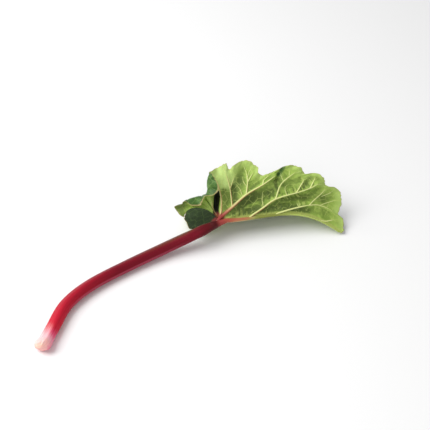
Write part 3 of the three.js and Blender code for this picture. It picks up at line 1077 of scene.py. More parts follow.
# The margin of each half: p, q and, where it is rolled, the distance out of the half's plane. A rolled
# row goes on with the elbow that its ray bends over, and with the turn and the rise, in degrees, at
# which the ray leaves the leaf base.
NEAR_MARGIN: Margin = (
    (214, 0), (218, 9), (215, 26), (206, 30), (210, 47), (208, 60), (204, 69), (195, 74),
    (183, 72), (176, 75), (172, 86), (165, 91), (156, 93), (148, 91), (140, 88), (136, 93),
    (131, 99), (122, 102), (111, 102), (101, 98), (92, 92), (86, 88), (81, 85), (74, 82),
    (66, 78), (58, 84), (57, 92), (51, 97), (37, 104), (22, 98), (14, 92), (11, 86),
    (7, 87), (3, 94), (-3, 92), (-15, 83),
    (-26, 77, 2, -20.8, 63.1, -10.5, 103, -8),
    (-20.5, 74, 9, -40.1, 73.3, -14.5, 105.5, -12),
    (-14.5, 66.5, 13, -45.9, 70.3, -13.7, 107.5, -15),
    (-8.5, 57, 14, -45.9, 65.8, -11.6, 109.5, -17),
    (-7.5, 47, 13, -46.4, 56.7, -13.4, 111, -18.5),
    (-16, 39.5, 11, -43.2, 47, -16.9, 112.5, -19),
    (-29, 35.2, 9, -39, 42.3, -28.7, 114, -18.5),
    (-31.5, 27, 12, -50, 48.6, -19.2, 115.5, -17),
    (-34, 20.5, 13, -61.2, 50.9, -16, 117, -15),
    (-46, 18, 13, -65.2, 47, -14.3, 118.5, -12.5),
    (-53.5, 20, 13, -65.1, 41.1, -17.9, 120, -10),
    (-60.5, 23.7, 9, -58, 31, -7, 121, -7.5),
    (-67, 16.5, 7, -57, 28, -6, 122, -5),
    (-76.7, 12, 6, -58, 24.5, -4, 123, -2.5),
    (-72, 5.6, 4, -57, 24, -1, 124, 0),
    (-66, 0, 3, -57, 24.5, 2, 125, 2.5),
    (-59, -4, 2, -57, 25, 5, 126, 5),
)

FAR_MARGIN: Margin = (
    (214, 0), (213, 12), (203, 22), (205, 40), (196, 56), (184, 60), (180, 74), (168, 84),
    (154, 82), (145, 81), (138, 90), (122, 98), (107, 94), (98, 90), (88, 94), (74, 101),
    (58, 99), (48, 90), (38, 95), (22, 99), (6, 94), (-4, 84), (-19, 87), (-32, 80, 6),
    (-42, 68, 16), (-50, 57, 24), (-54, 42, 30), (-51, 28, 31), (-45.5, 13, 34), (-33, 8.5, 33),
)

# creases that run in from the notches of the margin: path, depth and reach
TUCKS: Pockets = (
    (((94, 83), (92, 72)), 5.5, 4.5),
    (((11, 88), (10, 82)), 2.0, 4.0),
    (((139, 90), (134, 78)), 3.5, 5.0),
    (((176, 74), (166, 62)), 3.5, 5.0),
)

# a low crest that the rungs beside the midrib run up to: path, height and reach
CRESTS: Pockets = ((((12, -1), (21, 4), (37, 12), (50, 21), (62, 24)), 1.6, 3.2),)

# painted shade: places on the near half whose colour is darkened as if they lay in deep shade: path, depth of
# shade and reach
DUSKS: Pockets = (
    (((8, 3), (24, 14), (37, 25), (50, 35)), 0.9, 8.5),
    (((8, 14), (8, 33), (3, 47)), 1.2, 6.0),
    (((20, 32), (18, 54)), 0.9, 5.5),
    (((58, 26), (84, 40)), 0.3, 9.0),
    (((142, 66), (147, 82)), 0.75, 4.8),
    (((152, 82), (160, 82)), 0.8, 6.0),
    (((84, 30), (79, 46)), 0.5, 2.0),
    (((98, 42), (92, 56), (89, 68)), 0.7, 2.2),
    (((90, 34), (86, 50)), 0.35, 2.0),
    (((50, 52), (60, 66)), 0.6, 7.0),
    (((29, 66), (27, 86)), 0.45, 6.0),
    (((120, 8), (150, 8)), 0.4, 6.0),
    (((140, 30), (150, 34)), 0.3, 9.0),
    (((178, 44), (190, 56)), 0.35, 8.0),
)

# where the underside is given the upper side's colour, as at a margin folded over: path, share and reach
FLAPS: Pockets = ((((93, 81), (97, 88), (103, 104)), 1.0, 4.6),)


@dataclass
class LeafForm:
    """The leaf as a surface: where a point of a half's plane comes to lie."""

    base: Point = (0.0, 3.0, 39.0)
    tip: Point = (188.0, -93.0, 3.0)
    near_tilt: float = 50.0
    far_tilt: float = -27.0
    fold_round: float = 1.6
    fold_fade: float = 8.0
    bow: float = 24.0
    bow_late: float = 1.5
    bow_spread: float = 75.0
    pocket: Span = (8.5, 14.0)
    small_pocket: Span = (1.8, 5.0)
    crest: float = 2.0
    pocket_grown: Span = (6.5, 62.0)
    pocket_full_midrib: float = 28.0
    hollow: float = 10.0
    hollow_reach: float = 6.0
    hollow_grown: Span = (6.0, 24.0)
    hollow_path: Route = ((-4, 16), (-8, 36))
    # painted shade: where the sheet's colour goes dark in and above the hollow
    gloom_path: Route = ((-5, 9), (-6, 43))
    gloom_reach: Span = (3.5, 7.0)
    gloom_grown: Span = (5.0, 10.0)
    near_frill: Point = (2.5, 13.0, 0.6)
    far_frill: Point = (7.0, 15.0, 0.2)
    frill_grown: Span = (35.0, 115.0)
    frill_off_midrib: float = 40.0
    table_gap: float = 3.1
    table_softness: float = 1.2
    midrib_wide: Span = (8.6, 1.8)
    midrib_taper: float = 0.6

    def __post_init__(self) -> None:
        """Works out the directions of the leaf and of its two halves."""
        line = np.array(self.tip) - np.array(self.base)
        self.length = float(np.linalg.norm(line))
        self.along = unit(line)
        away = unit(np.cross(UP, self.along))
        over = np.cross(self.along, away)
        near = turned(away, over, self.near_tilt)
        far = turned(away, over, self.far_tilt)
        near_under, far_under = np.cross(self.along, near), -np.cross(self.along, far)
        self.near = Half(Side.NEAR, near, near_under, self.near_frill, self.hollow, NEAR_MARGIN)
        self.far = Half(Side.FAR, far, far_under, self.far_frill, 0.0, FAR_MARGIN)
        self.into_fold = unit(near + far)

    def to_paths(self, p: Array, q: Array, ribs: tuple[Rib, ...]) -> Array:
        """The distance of points from the nearest rib's path.

        Args:
            p: places along the midrib.
            q: places away from it.
            ribs: the ribs that count.

        Returns:
            One distance for each point.
        """
        here = np.stack([p, q], axis=-1)
        nearest = np.full(p.shape, np.inf)
        for rib in ribs:
            path = np.array(rib.path, float)
            for a, step in zip(path, np.diff(path, axis=0)):
                share = np.clip((here - a) @ step / (step @ step), 0.0, 1.0)
                nearest = np.minimum(nearest, np.linalg.norm(here - a - share[..., None] * step, axis=-1))
        return nearest

    def _sunk(self, gap: Array, pocket: Span) -> Array:
        """How far a pocket sinks at a distance from its ribs.

        Args:
            gap: the distance.
            pocket: the pocket's depth and reach.

        Returns:
            The depth, with a rounded crest along the ribs.
        """
        deepest, reach = pocket
        return deepest * (1 - np.exp(-(np.hypot(gap, self.crest) - self.crest) / reach))

    def pocket_depth(self, p: Array, q: Array) -> Array:
        """How far the blade sinks between its ribs, to the upper side.

        Args:
            p: places along the midrib.
            q: places away from it.

        Returns:
            One depth for each point.
        """
        main = self.to_paths(p, q, tuple(rib for rib in RIBS if rib.main))
        large = self._sunk(main, self.pocket)
        small = self._sunk(self.to_paths(p, q, RIBS), self.small_pocket)
        grown = ease(np.hypot(p, q), *self.pocket_grown)
        fold = np.where(p > 0, ease(q, 0.0, self.pocket_full_midrib), 1.0)
        return grown * fold * (large + small)

    def near_bells(self, p: Array, q: Array, pockets: Pockets, half: Half) -> Array:
        """The sum of soft pockets along paths of the near half.

        Args:
            p: places along the midrib.
            q: places away from it.
            pockets: a path, a depth and a reach for each.
            half: the half that the points lie in.

        Returns:
            One depth for each point, nothing on the far half.
        """
        if half.side is Side.FAR:
            return np.zeros_like(p)
        return sum(
            deepest * bell(self.to_paths(p, q, (Rib(path),)), reach) for path, deepest, reach in pockets
        )

    def relief(self, p: Array, q: Array, half: Half) -> Array:
        """How far creases sink the near half, less how far its low crest lifts it."""
        return self.near_bells(p, q, TUCKS, half) - self.near_bells(p, q, CRESTS, half)

    def _hollowed(self, p: Array, q: Array, half: Half) -> Array:
        """How deep the hollow beside the leaf base is.

        Args:
            p: places along the midrib.
            q: places away from it.
            half: the half that the points lie in.

        Returns:
            One depth for each point.
        """
        gap = self.to_paths(p, q, (Rib(self.hollow_path),))
        return half.hollow * ease(np.hypot(p, q), *self.hollow_grown) * bell(gap, self.hollow_reach)

    def gloom(self, p: Array, q: Array, half: Half) -> Array:
        """How much painted shade darkens the sheet in and above that hollow.

        Args:
            p: places along the midrib.
            q: places away from it.
            half: the half that the points lie in.

        Returns:
            From 0 to 1 for each point, and 0 on the far half.
        """
        if half.side is Side.FAR:
            return np.zeros_like(p)
        gap = self.to_paths(p, q, (Rib(self.gloom_path),))
        return ease(np.hypot(p, q), *self.gloom_grown) * (1 - ease(gap, *self.gloom_reach))

    def place(self, p: Array, q: Array, lift: Array, half: Half) -> Array:
        """Points of a half in space.

        Args:
            p: places along the midrib, from the leaf base.
            q: places away from the midrib.
            lift: distances out of the plane, to the underside.
            half: which half.

        Returns:
            Points in millimetres.
        """
        height, waves, shift = half.frill
        grown = ease(np.hypot(p, q), *self.frill_grown) * ease(q, 0.0, self.frill_off_midrib)
        frill = height * grown * np.sin(waves * (np.arctan2(q, p) + shift))
        u = np.clip(p / self.length, 0.0, 1.0)
        bow = self.bow * np.sin(math.pi * u**self.bow_late) * bell(q, self.bow_spread)
        rise = float(self.into_fold @ self.near.across) * ease(p, -self.fold_fade, self.fold_fade)
        rounding = rise * (np.hypot(q, self.fold_round) - q)
        points = (
            np.array(self.base)
            + p[..., None] * self.along
            + q[..., None] * half.across
            + (lift + frill - self._hollowed(p, q, half))[..., None] * half.under
            + bow[..., None] * self.near.across
            + rounding[..., None] * self.into_fold
        )
        above = points[..., 2] - self.table_gap
        points[..., 2] = self.table_gap + (above + np.hypot(above, 2 * self.table_softness)) / 2
        return points

    def midrib_width(self, p: Array) -> Array:
        """The midrib's width at places along it."""
        return between(*self.midrib_wide, (np.clip(p, 0, None) / self.length) ** self.midrib_taper)

    def midrib_centre(self, p: Array, clear: float) -> Array:
        """The middle of the midrib, which lies outside the fold of the blade.

        Args:
            p: places along it.
            clear: the gap between the midrib and the fold.

        Returns:
            One point for each place.
        """
        zero = np.zeros_like(p)
        out = (self.midrib_width(p) / 2 + clear)[..., None] * self.into_fold
        return self.place(p, zero, zero, self.near) - out


@dataclass
class Rungs:
    """The small straight veins that leave the main ribs like rungs, and the shade beside the ribs.

    Shares for each rib start with the midrib's and go on in the order of the wide ribs.
    """

    step: float = 5.4
    lean: float = 0.22
    midrib_lean: float = -0.11
    reach: Span = (7.0, 27.0)
    wanders: tuple[Point, Point] = ((0.3, 0.27, 2.1), (0.22, 0.71, 1.0))
    below_shift: float = 0.8
    rib_shift: float = 1.7
    first_shift: float = 40.4
    draw_steps: tuple[int, int] = (7, 13)
    side_from: float = 0.7
    least: float = 0.35
    path_step: float = 6.0
    main_width: float = 2.5
    midrib_weight: float = 0.55
    off_rib: Span = (0.5, 3.0)
    meeting: Span = (0.5, 9.0)
    midrib_meeting: float = 4.0
    tip_fade: Span = (135.0, 165.0)
    tip_fade_share: float = 0.8
    shares: tuple[tuple[float, ...], ...] = (
        (1.0, 0.1, 0.0, 0.9, 0.8, 0.1, 0.4, 0.3),
        (1.0, 0.2, 0.0, 0.7, 0.6, 0.1, 0.4, 0.3),
    )
    shade_off: float = 5.0
    shade_reach: float = 11.0
    shade_shares: tuple[float, ...] = (0.0, 0.95, 0.55, 0.6, 0.3, 0.75, 0.35, 0.1)
    shade_slope: Span = (0.0, 0.7)
    fold_shade: Point = (11.0, 8.5, 1.3)
    fold_shade_from: Span = (0.0, 8.0)
    shade_fades: Span = (120.0, 170.0)
    shade_tops: Span = (28.0, 58.0)
    shade_kept: float = 0.25

    def _beside(self, here: Array, rib: Rib) -> tuple[Array, Array, Array]:
        """Where points lie beside a rib.

        Args:
            here: the points, as places along the midrib and away from it.
            rib: the rib.

        Returns:
            The distance from it, how far along it, and the side from 1 to -1, 0 straight ahead of
            an end.
        """
        line = Spline(np.array(rib.path, float))
        distance = np.linspace(0.0, line.length(), max(2, round(line.length() / self.path_step)))
        path, _ = line.along(distance)
        gap = np.full(here.shape[:-1], np.inf)
        along, side = np.zeros_like(gap), np.zeros_like(gap)
        for a, b, start in zip(path[:-1], path[1:], distance):
            step = b - a
            long = float(np.linalg.norm(step))
            share = np.clip((here - a) @ step / long**2, 0.0, 1.0)
            away = here - a - share[..., None] * step
            off = np.linalg.norm(away, axis=-1)
            nearer = off < gap
            gap = np.where(nearer, off, gap)
            along = np.where(nearer, start + share * long, along)
            cross = (step[0] * away[..., 1] - step[1] * away[..., 0]) / (long * np.maximum(off, LEAST_GAP))
            side = np.where(nearer, cross, side)
        return gap, along, side

    def _fold_shaded(self, p: Array, q: Array, shade: Array) -> Array:
        """Adds the shade along the fold, and lets all of it fade towards the tip and the margin.

        Args:
            p: places along the midrib.
            q: places away from it.
            shade: the shade beside the ribs.

        Returns:
            The whole shade.
        """
        off, reach, share = self.fold_shade
        shade = np.maximum(shade, share * bell(q - off, reach) * ease(p, *self.fold_shade_from))
        gone = 1 - self.shade_kept
        return shade * (1 - gone * ease(p, *self.shade_fades)) * (1 - gone * ease(q, *self.shade_tops))

    def over(self, p: Array, q: Array, draws: Array) -> tuple[Array, Array, Array]:
        """The rungs and the shade at points of a half.

        Args:
            p: places along the midrib.
            q: places away from it.
            draws: random shares, of which each rung takes one.

        Returns:
            How far points lie ahead of the nearest rung, how strong the rungs are there and how
            deep the shade is on the lower side of a rib.
        """
        here = np.stack([p, q], axis=-1)
        gap = np.full(p.shape, np.inf)
        first, second = gap.copy(), gap.copy()
        along, which, side, shade = (np.zeros(p.shape) for _ in range(4))
        ribs = (Rib(MIDRIB_PATH), *(rib for rib in RIBS if rib.wide[0] > self.main_width))
        for k, rib in enumerate(ribs):
            own, reached, slope = self._beside(here, rib)
            weighed = own * (self.midrib_weight if k == 0 else 1.0)
            nearer = weighed < first
            second = np.where(nearer, first, np.minimum(second, weighed))
            first, gap = np.where(nearer, weighed, first), np.where(nearer, own, gap)
            along, side = np.where(nearer, reached, along), np.where(nearer, slope, side)
            which = np.where(nearer, k, which)
            lower = bell(own - self.shade_off, self.shade_reach) * ease(-slope, *self.shade_slope)
            shade = np.maximum(shade, self.shade_shares[k] * lower)
        which, below = which.astype(int), (side < 0).astype(int)
        away, draw = self._spaced(gap, along, which, below, draws)
        reach = between(*self.reach, draw)
        strong = ease(gap, *self.off_rib) * (1 - ease(gap, 0.5 * reach, reach))
        low, high = self.meeting
        strong = strong * ease(second - first, low, np.where(which == 0, self.midrib_meeting, high))
        strong = strong * np.array(self.shares)[below, which]
        strong = strong * (1 - self.tip_fade_share * ease(p, *self.tip_fade))
        strong = strong * (1 - ease(np.abs(away), self.side_from * self.step / 2, self.step / 2))
        return away, strong * (self.least + (1 - self.least) * draw), self._fold_shaded(p, q, shade)

    def _spaced(
        self, gap: Array, along: Array, which: Array, below: Array, draws: Array
    ) -> tuple[Array, Array]:
        """The nearest rung of points beside their ribs.

        Args:
            gap: the distance from the rib.
            along: how far along the rib.
            which: the rib's number.
            below: 1 on the rib's lower side and 0 on its upper side.
            draws: the random shares.

        Returns:
            How far each point lies ahead of its rung, and the rung's random share.
        """
        lean = np.where(which == 0, self.midrib_lean, self.lean) * gap
        wander = sum(
            height * np.sin(along * pace + which * shift) for height, pace, shift in self.wanders
        )
        phase = (along - lean) / self.step + wander
        phase = phase - self.below_shift * below + self.rib_shift * which + self.first_shift
        rung = np.floor(phase)
        rung_step, rib_step = self.draw_steps
        number = rung.astype(int) * rung_step + which * rib_step + 1 - below
        return (phase - rung - 0.5) * self.step, draws[number % len(draws)]


@dataclass
class VeinNet:
    """The net of cells that the smallest veins make, and the random shares of a half."""

    seed: int
    spacing: float = 9.0
    corners: tuple[Span, Span] = ((-82.0, -12.0), (226.0, 112.0))
    tries: int = 9000
    draw_count: int = 97
    batch: int = 4000

    def __post_init__(self) -> None:
        """Places the middles of the cells and draws the shares."""
        rng = np.random.default_rng(self.seed)
        kept: list[Array] = []
        for point in rng.uniform(*self.corners, (self.tries, 2)):
            if not kept or np.min(np.sum((np.array(kept) - point) ** 2, axis=1)) > self.spacing**2:
                kept.append(point)
        self.middles = np.array(kept)
        self.draws = rng.uniform(0.0, 1.0, self.draw_count)

    def to_line(self, p: Array, q: Array) -> Array:
        """The distance of points from the nearest line between two cells.

        Args:
            p: places along the midrib.
            q: places away from it.

        Returns:
            One distance for each point.
        """
        here = np.stack([p.ravel(), q.ravel()], axis=1)
        found = np.empty(len(here))
        for first in range(0, len(here), self.batch):
            part = here[first:first + self.batch]
            square = ((part[:, None] - self.middles[None]) ** 2).sum(axis=2)
            two = np.argpartition(square, 1, axis=1)[:, :2]
            near = np.take_along_axis(square, two, axis=1)
            gap = np.linalg.norm(self.middles[two[:, 0]] - self.middles[two[:, 1]], axis=1)
            apart = np.abs(near[:, 1] - near[:, 0])
            found[first:first + self.batch] = apart / (2 * np.maximum(gap, LEAST_GAP))
        return found.reshape(p.shape)


@dataclass(frozen=True)
class Sheet:
    """A half before it is given any relief: one row of points for each ray.

    The places p and q and the lift out of the half's plane, the distance from the margin, the ray's
    distance along the margin and the share in which the ray is a straight one.
    """

    p: Array
    q: Array
    lift: Array
    edge: Array
    around: Array
    straight: Array

    @property
    def out(self) -> Array:
        """The distance from the leaf base."""
        return np.hypot(self.p, self.q)


@dataclass
class Blade:
    """One half of the blade as a thin sheet of rays from the leaf base to the margin."""

    form: LeafForm
    half: Half
    rays: int
    rows: int = 145
    row_power: float = 0.92
    thick: float = 0.6
    rim_thinner: float = 0.22
    rim_reach: float = 1.5
    start: float = 1.4
    arm: float = 22.0
    tension: float = 0.4
    grown: Span = (14.0, 50.0)
    quilt: float = 0.5
    quilt_reach: float = 2.4
    pleat: float = 1.8
    pleat_off: float = 1.4
    pleat_reach: float = 1.35
    pleat_from: Span = (12.0, 26.0)
    pleat_inland: Span = (4.0, 20.0)
    net_off: float = 4.0
    rung_sharp: float = 0.5
    rung_off: float = 3.0
    rib_edge: float = 0.4
    ruffle: float = 1.5
    ruffle_wave: float = 23.0
    ruffle_drift: Span = (2.0, 31.0)
    ruffle_reach: float = 14.0
    ruffle_off_rib: Span = (0.5, 6.0)
    notch: float = 0.8
    notch_wave: float = 7.6
    notch_drift: Span = (2.2, 37.0)
    notch_swell: Span = (0.45, 53.0)
    notch_fine: Span = (0.7, 2.9)
    # painted shade: these numbers set how far the blade's colour is darkened in pockets, beside ribs, along
    # creases and in the hollow
    deepest: float = 11.0
    shade_inland: Span = (8.0, 42.0)
    shade_at_margin: float = 0.5
    shade_from: Span = (8.0, 26.0)
    shade_most: float = 1.45
    crease_shade: float = 0.05
    crest_light: float = 0.35
    rolled_shade: float = 1.6
    rolled_from: Span = (46.0, 62.0)
    gloom: float = 2.4
    flap: Span = (0.3, 0.8)
    far_mark: float = 50.0
    nudge: float = 1e-9
    sinus_vein: Rib = Rib(((-4, 7), (-8, 12), (-12, 20), (-13, 26)))

    def _row(self, row: tuple[float, ...]) -> tuple[Array, Array, Array, float]:
        """The arm, the elbow and the end of a margin row's ray, and whether it is rolled.

        Args:
            row: a row of the half's margin.

        Returns:
            Three points in the half's plane, and 1.0 for a rolled ray or 0.0 for a straight one.
        """
        end = np.array((*row, 0.0)[:3], float)
        if len(row) <= 3:
            return end / 3, end * 2 / 3, end, 0.0
        turn, rise = np.radians(row[-2:])
        level = np.array([np.cos(turn), np.sin(turn), 0.0]) * np.cos(rise)
        return self.arm * (level + np.array([0.0, 0.0, np.sin(rise)])), np.array(row[3:6], float), end, 1.0

    def _notched(self, ends: Array, length: Array, distance: Array) -> Array:
        """The rays' ends, moved in and out for the finely notched margin.

        Args:
            ends: the ends.
            length: their distances from the leaf base.
            distance: their distances along the margin.

        Returns:
            The new ends.
        """
        circle = 2 * math.pi * distance
        drift, drift_wave = self.notch_drift
        swell, swell_wave = self.notch_swell
        fine, fine_wave = self.notch_fine
        beat = np.sin(circle / self.notch_wave + drift * np.sin(circle / drift_wave))
        beat = beat * (1 - swell + swell * np.sin(circle / swell_wave)) + fine * np.sin(distance / fine_wave)
        tips = ends.copy()
        tips[:, :2] *= (1 + self.notch * beat / length)[:, None]
        return tips

    def _sheet(self) -> Sheet:
        """Fans the rays out from the leaf base.

        Returns:
            The flat half, with its lobe rolled.
        """
        arms, elbows, ends, rolled = (np.array(part) for part in zip(*map(self._row, self.half.margin)))
        line = Spline(ends, self.tension)
        around = np.linspace(0.0, line.length(), self.rays)
        share = line.share_at(around)
        arms, elbows = (Spline(points, self.tension).at(share) for points in (arms, elbows))
        rolls = np.interp(share * (len(rolled) - 1), np.arange(len(rolled)), rolled)
        ends = line.at(share)
        length = np.linalg.norm(ends, axis=1)
        start = self.start / np.maximum(3 * np.linalg.norm(arms, axis=1), self.start)
        t = between(start[:, None], 1.0, np.linspace(0.0, 1.0, self.rows)[None] ** self.row_power)
        flat = (
            (3 * t * (1 - t) ** 2)[..., None] * arms[:, None]
            + (3 * t**2 * (1 - t))[..., None] * elbows[:, None]
            + (t**3)[..., None] * self._notched(ends, length, around)[:, None]
        )
        edge = (1 - t) * length[:, None]
        return Sheet(flat[..., 0], flat[..., 1], flat[..., 2], edge, around[:, None], 1 - rolls[:, None])

    def _to_vein(self, s: Sheet, cells: VeinNet, ribs: Array, rung: Array, strong: Array) -> Array:
        """The distance of points from the nearest vein of any kind.

        Args:
            s: the sheet.
            cells: the net of the smallest veins, which makes room for the rungs.
            ribs: the distance from the nearest rib.
            rung: the distance from the nearest rung.
            strong: how strong that rung is.

        Returns:
            One distance for each point.
        """
        shown = np.clip(2 * strong, 0.0, 1.0)
        net = between(cells.to_line(s.p, s.q), self.net_off, shown)
        to_rung = self.rung_sharp * np.abs(rung) + self.rung_off * (1 - shown)
        thin = np.minimum(self.form.to_paths(s.p, s.q, VEINLETS), to_rung)
        return np.minimum(np.minimum(net, np.maximum(ribs - self.rib_edge, 0.0)), thin)

    def _ruffled(self, s: Sheet, ribs: Array) -> Array:
        """The ruffles along the margin, which leave the ribs alone.

        Args:
            s: the sheet.
            ribs: the distance from the nearest rib.

        Returns:
            One lift for each point.
        """
        drift, drift_wave = self.ruffle_drift
        wave = np.sin(2 * math.pi * s.around / self.ruffle_wave + drift * np.sin(s.around / drift_wave))
        veins = np.minimum(ribs, self.form.to_paths(s.p, s.q, VEINLETS))
        ruffled = self.ruffle * wave * bell(s.edge, self.ruffle_reach) * ease(s.out, *self.grown)
        return ruffled * ease(veins, *self.ruffle_off_rib)

    def _darkness(self, s: Sheet, deep: Array, relief: Array, shade: Array) -> Array:
        """How deep in painted shade points lie: the darkening that the blade's colour is given in pockets,
        beside the ribs, along creases and in the hollow.

        Args:
            s: the sheet.
            deep: how far they are sunk between the ribs.
            relief: how far creases sink them.
            shade: the shade beside the ribs.

        Returns:
            0 in the light, about 1 in a pocket and 2 in the dark.
        """
        dusk = self.form.near_bells(s.p, s.q, DUSKS, self.half) + self.crease_shade * np.maximum(relief, 0.0)
        shaded = (shade * ease(s.out, *self.shade_from) + dusk) * s.straight
        shaded = shaded + self.crest_light * np.minimum(relief, 0.0)
        shade_depth = deep / self.deepest * between(self.shade_at_margin, 1.0, ease(s.edge, *self.shade_inland))
        shade_depth = np.minimum(shade_depth + shaded, self.shade_most)
        shade_depth = shade_depth + self.rolled_shade * (1 - s.straight) * ease(-s.p, *self.rolled_from)
        return np.maximum(shade_depth, self.gloom * self.form.gloom(s.p, s.q, self.half))

    def _both(self, held: Array) -> Array:
        """What the sheet's points hold, for its under and then for its upper face."""
        return np.concatenate([held.reshape(self.rays * self.rows, -1)] * 2).squeeze()

    def _faces(self) -> list[tuple[int, ...]]:
        """The faces of the under side, of the upper side and of the rim between them.

        Returns:
            The faces, over the under and then the upper points.
        """
        count = self.rays * self.rows
        faces = grid_faces(self.rays, self.rows)
        faces += [face[::-1] for face in grid_faces(self.rays, self.rows, count)]
        index = np.arange(count).reshape(self.rays, self.rows)
        rim = np.concatenate([index[:, 0], index[-1, 1:], index[-2::-1, -1], index[0, -2:0:-1]])
        for a, b in zip(rim, np.roll(rim, -1)):
            faces.append((int(a), int(b), int(b + count), int(a + count)))
        return faces

    def _normals(self, middle: Array) -> Array:
        """The directions out of the sheet, to the underside.

        Args:
            middle: the sheet's points, ray by ray.

        Returns:
            One unit vector for each point.
        """
        normal = unit(np.cross(np.gradient(middle, axis=1), np.gradient(middle, axis=0)) + self.nudge)
        return normal if self.half.side is Side.NEAR else -normal

    def shell(self) -> Shell:
        """The sheet with both its faces and its rim.

        Returns:
            The mesh, with leaf, above, deep, vein, rib, rung and edge held at its points.
        """
        s = self._sheet()
        far = self.half.side is Side.FAR
        cells = VeinNet(SEED + far)
        rung, strong, shade = Rungs().over(s.p, s.q, cells.draws)
        strong = strong * ease(s.out, *self.pleat_from) * ease(s.edge, *self.pleat_inland) * s.straight
        ribs = self.form.to_paths(s.p, s.q, RIBS)
        vein = self._to_vein(s, cells, ribs, rung, strong)
        pleat = self.pleat * strong * bell(rung - self.pleat_off, self.pleat_reach)
        pillow = self.quilt * ease(s.out, *self.grown) * (1 - np.exp(-vein / self.quilt_reach))
        deep = s.straight * self.form.pocket_depth(s.p, s.q)
        relief = self.form.relief(s.p, s.q, self.half) * s.straight
        smooth = s.lift - deep - relief + self._ruffled(s, ribs)
        middle = self.form.place(s.p, s.q, smooth - pillow - pleat, self.half)
        normal = self._normals(self.form.place(s.p, s.q, smooth, self.half))
        out = normal * (self.thick * (0.5 - self.rim_thinner * bell(s.edge, self.rim_reach)))[..., None]
        points = np.vstack([(middle + out).reshape(-1, 3), (middle - out).reshape(-1, 3)])
        folded = self.form.near_bells(s.p, s.q, FLAPS, self.half).ravel()
        low, high = self.flap
        edge = s.edge if far else np.minimum(s.edge, self.form.to_paths(s.p, s.q, (self.sinus_vein,)))
        values = {
            "leaf": self._both(np.stack([s.p, s.q, np.full_like(s.p, self.far_mark * far)], axis=-1)),
            "above": np.concatenate([np.clip((folded - low) / (high - low), 0.0, 1.0), np.ones(folded.size)]),
            # painted shade: how dark the colour is made, held as deep
            "deep": self._both(self._darkness(s, deep, relief, shade)),
            "vein": self._both(vein),
            "rib": self._both(ribs),
            # the pleats' depth, which also paints shadow into the colour beside the rungs
            "rung": self._both(pleat / self.pleat),
            "edge": self._both(edge),
        }
        return Shell(points + np.array(SET_DOWN), self._faces(), values)

    def make(self, finish: bpy.types.Material) -> bpy.types.Object:
        """Makes this half's piece, in place of the plain blade.

        Args:
            finish: the blade's material, which both halves share.

        Returns:
            The piece.
        """
        piece = self.shell().piece(f"blade_{self.half.side.value}", finish)
        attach(piece, BODY)
        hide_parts("leaf_blade")
        return piece


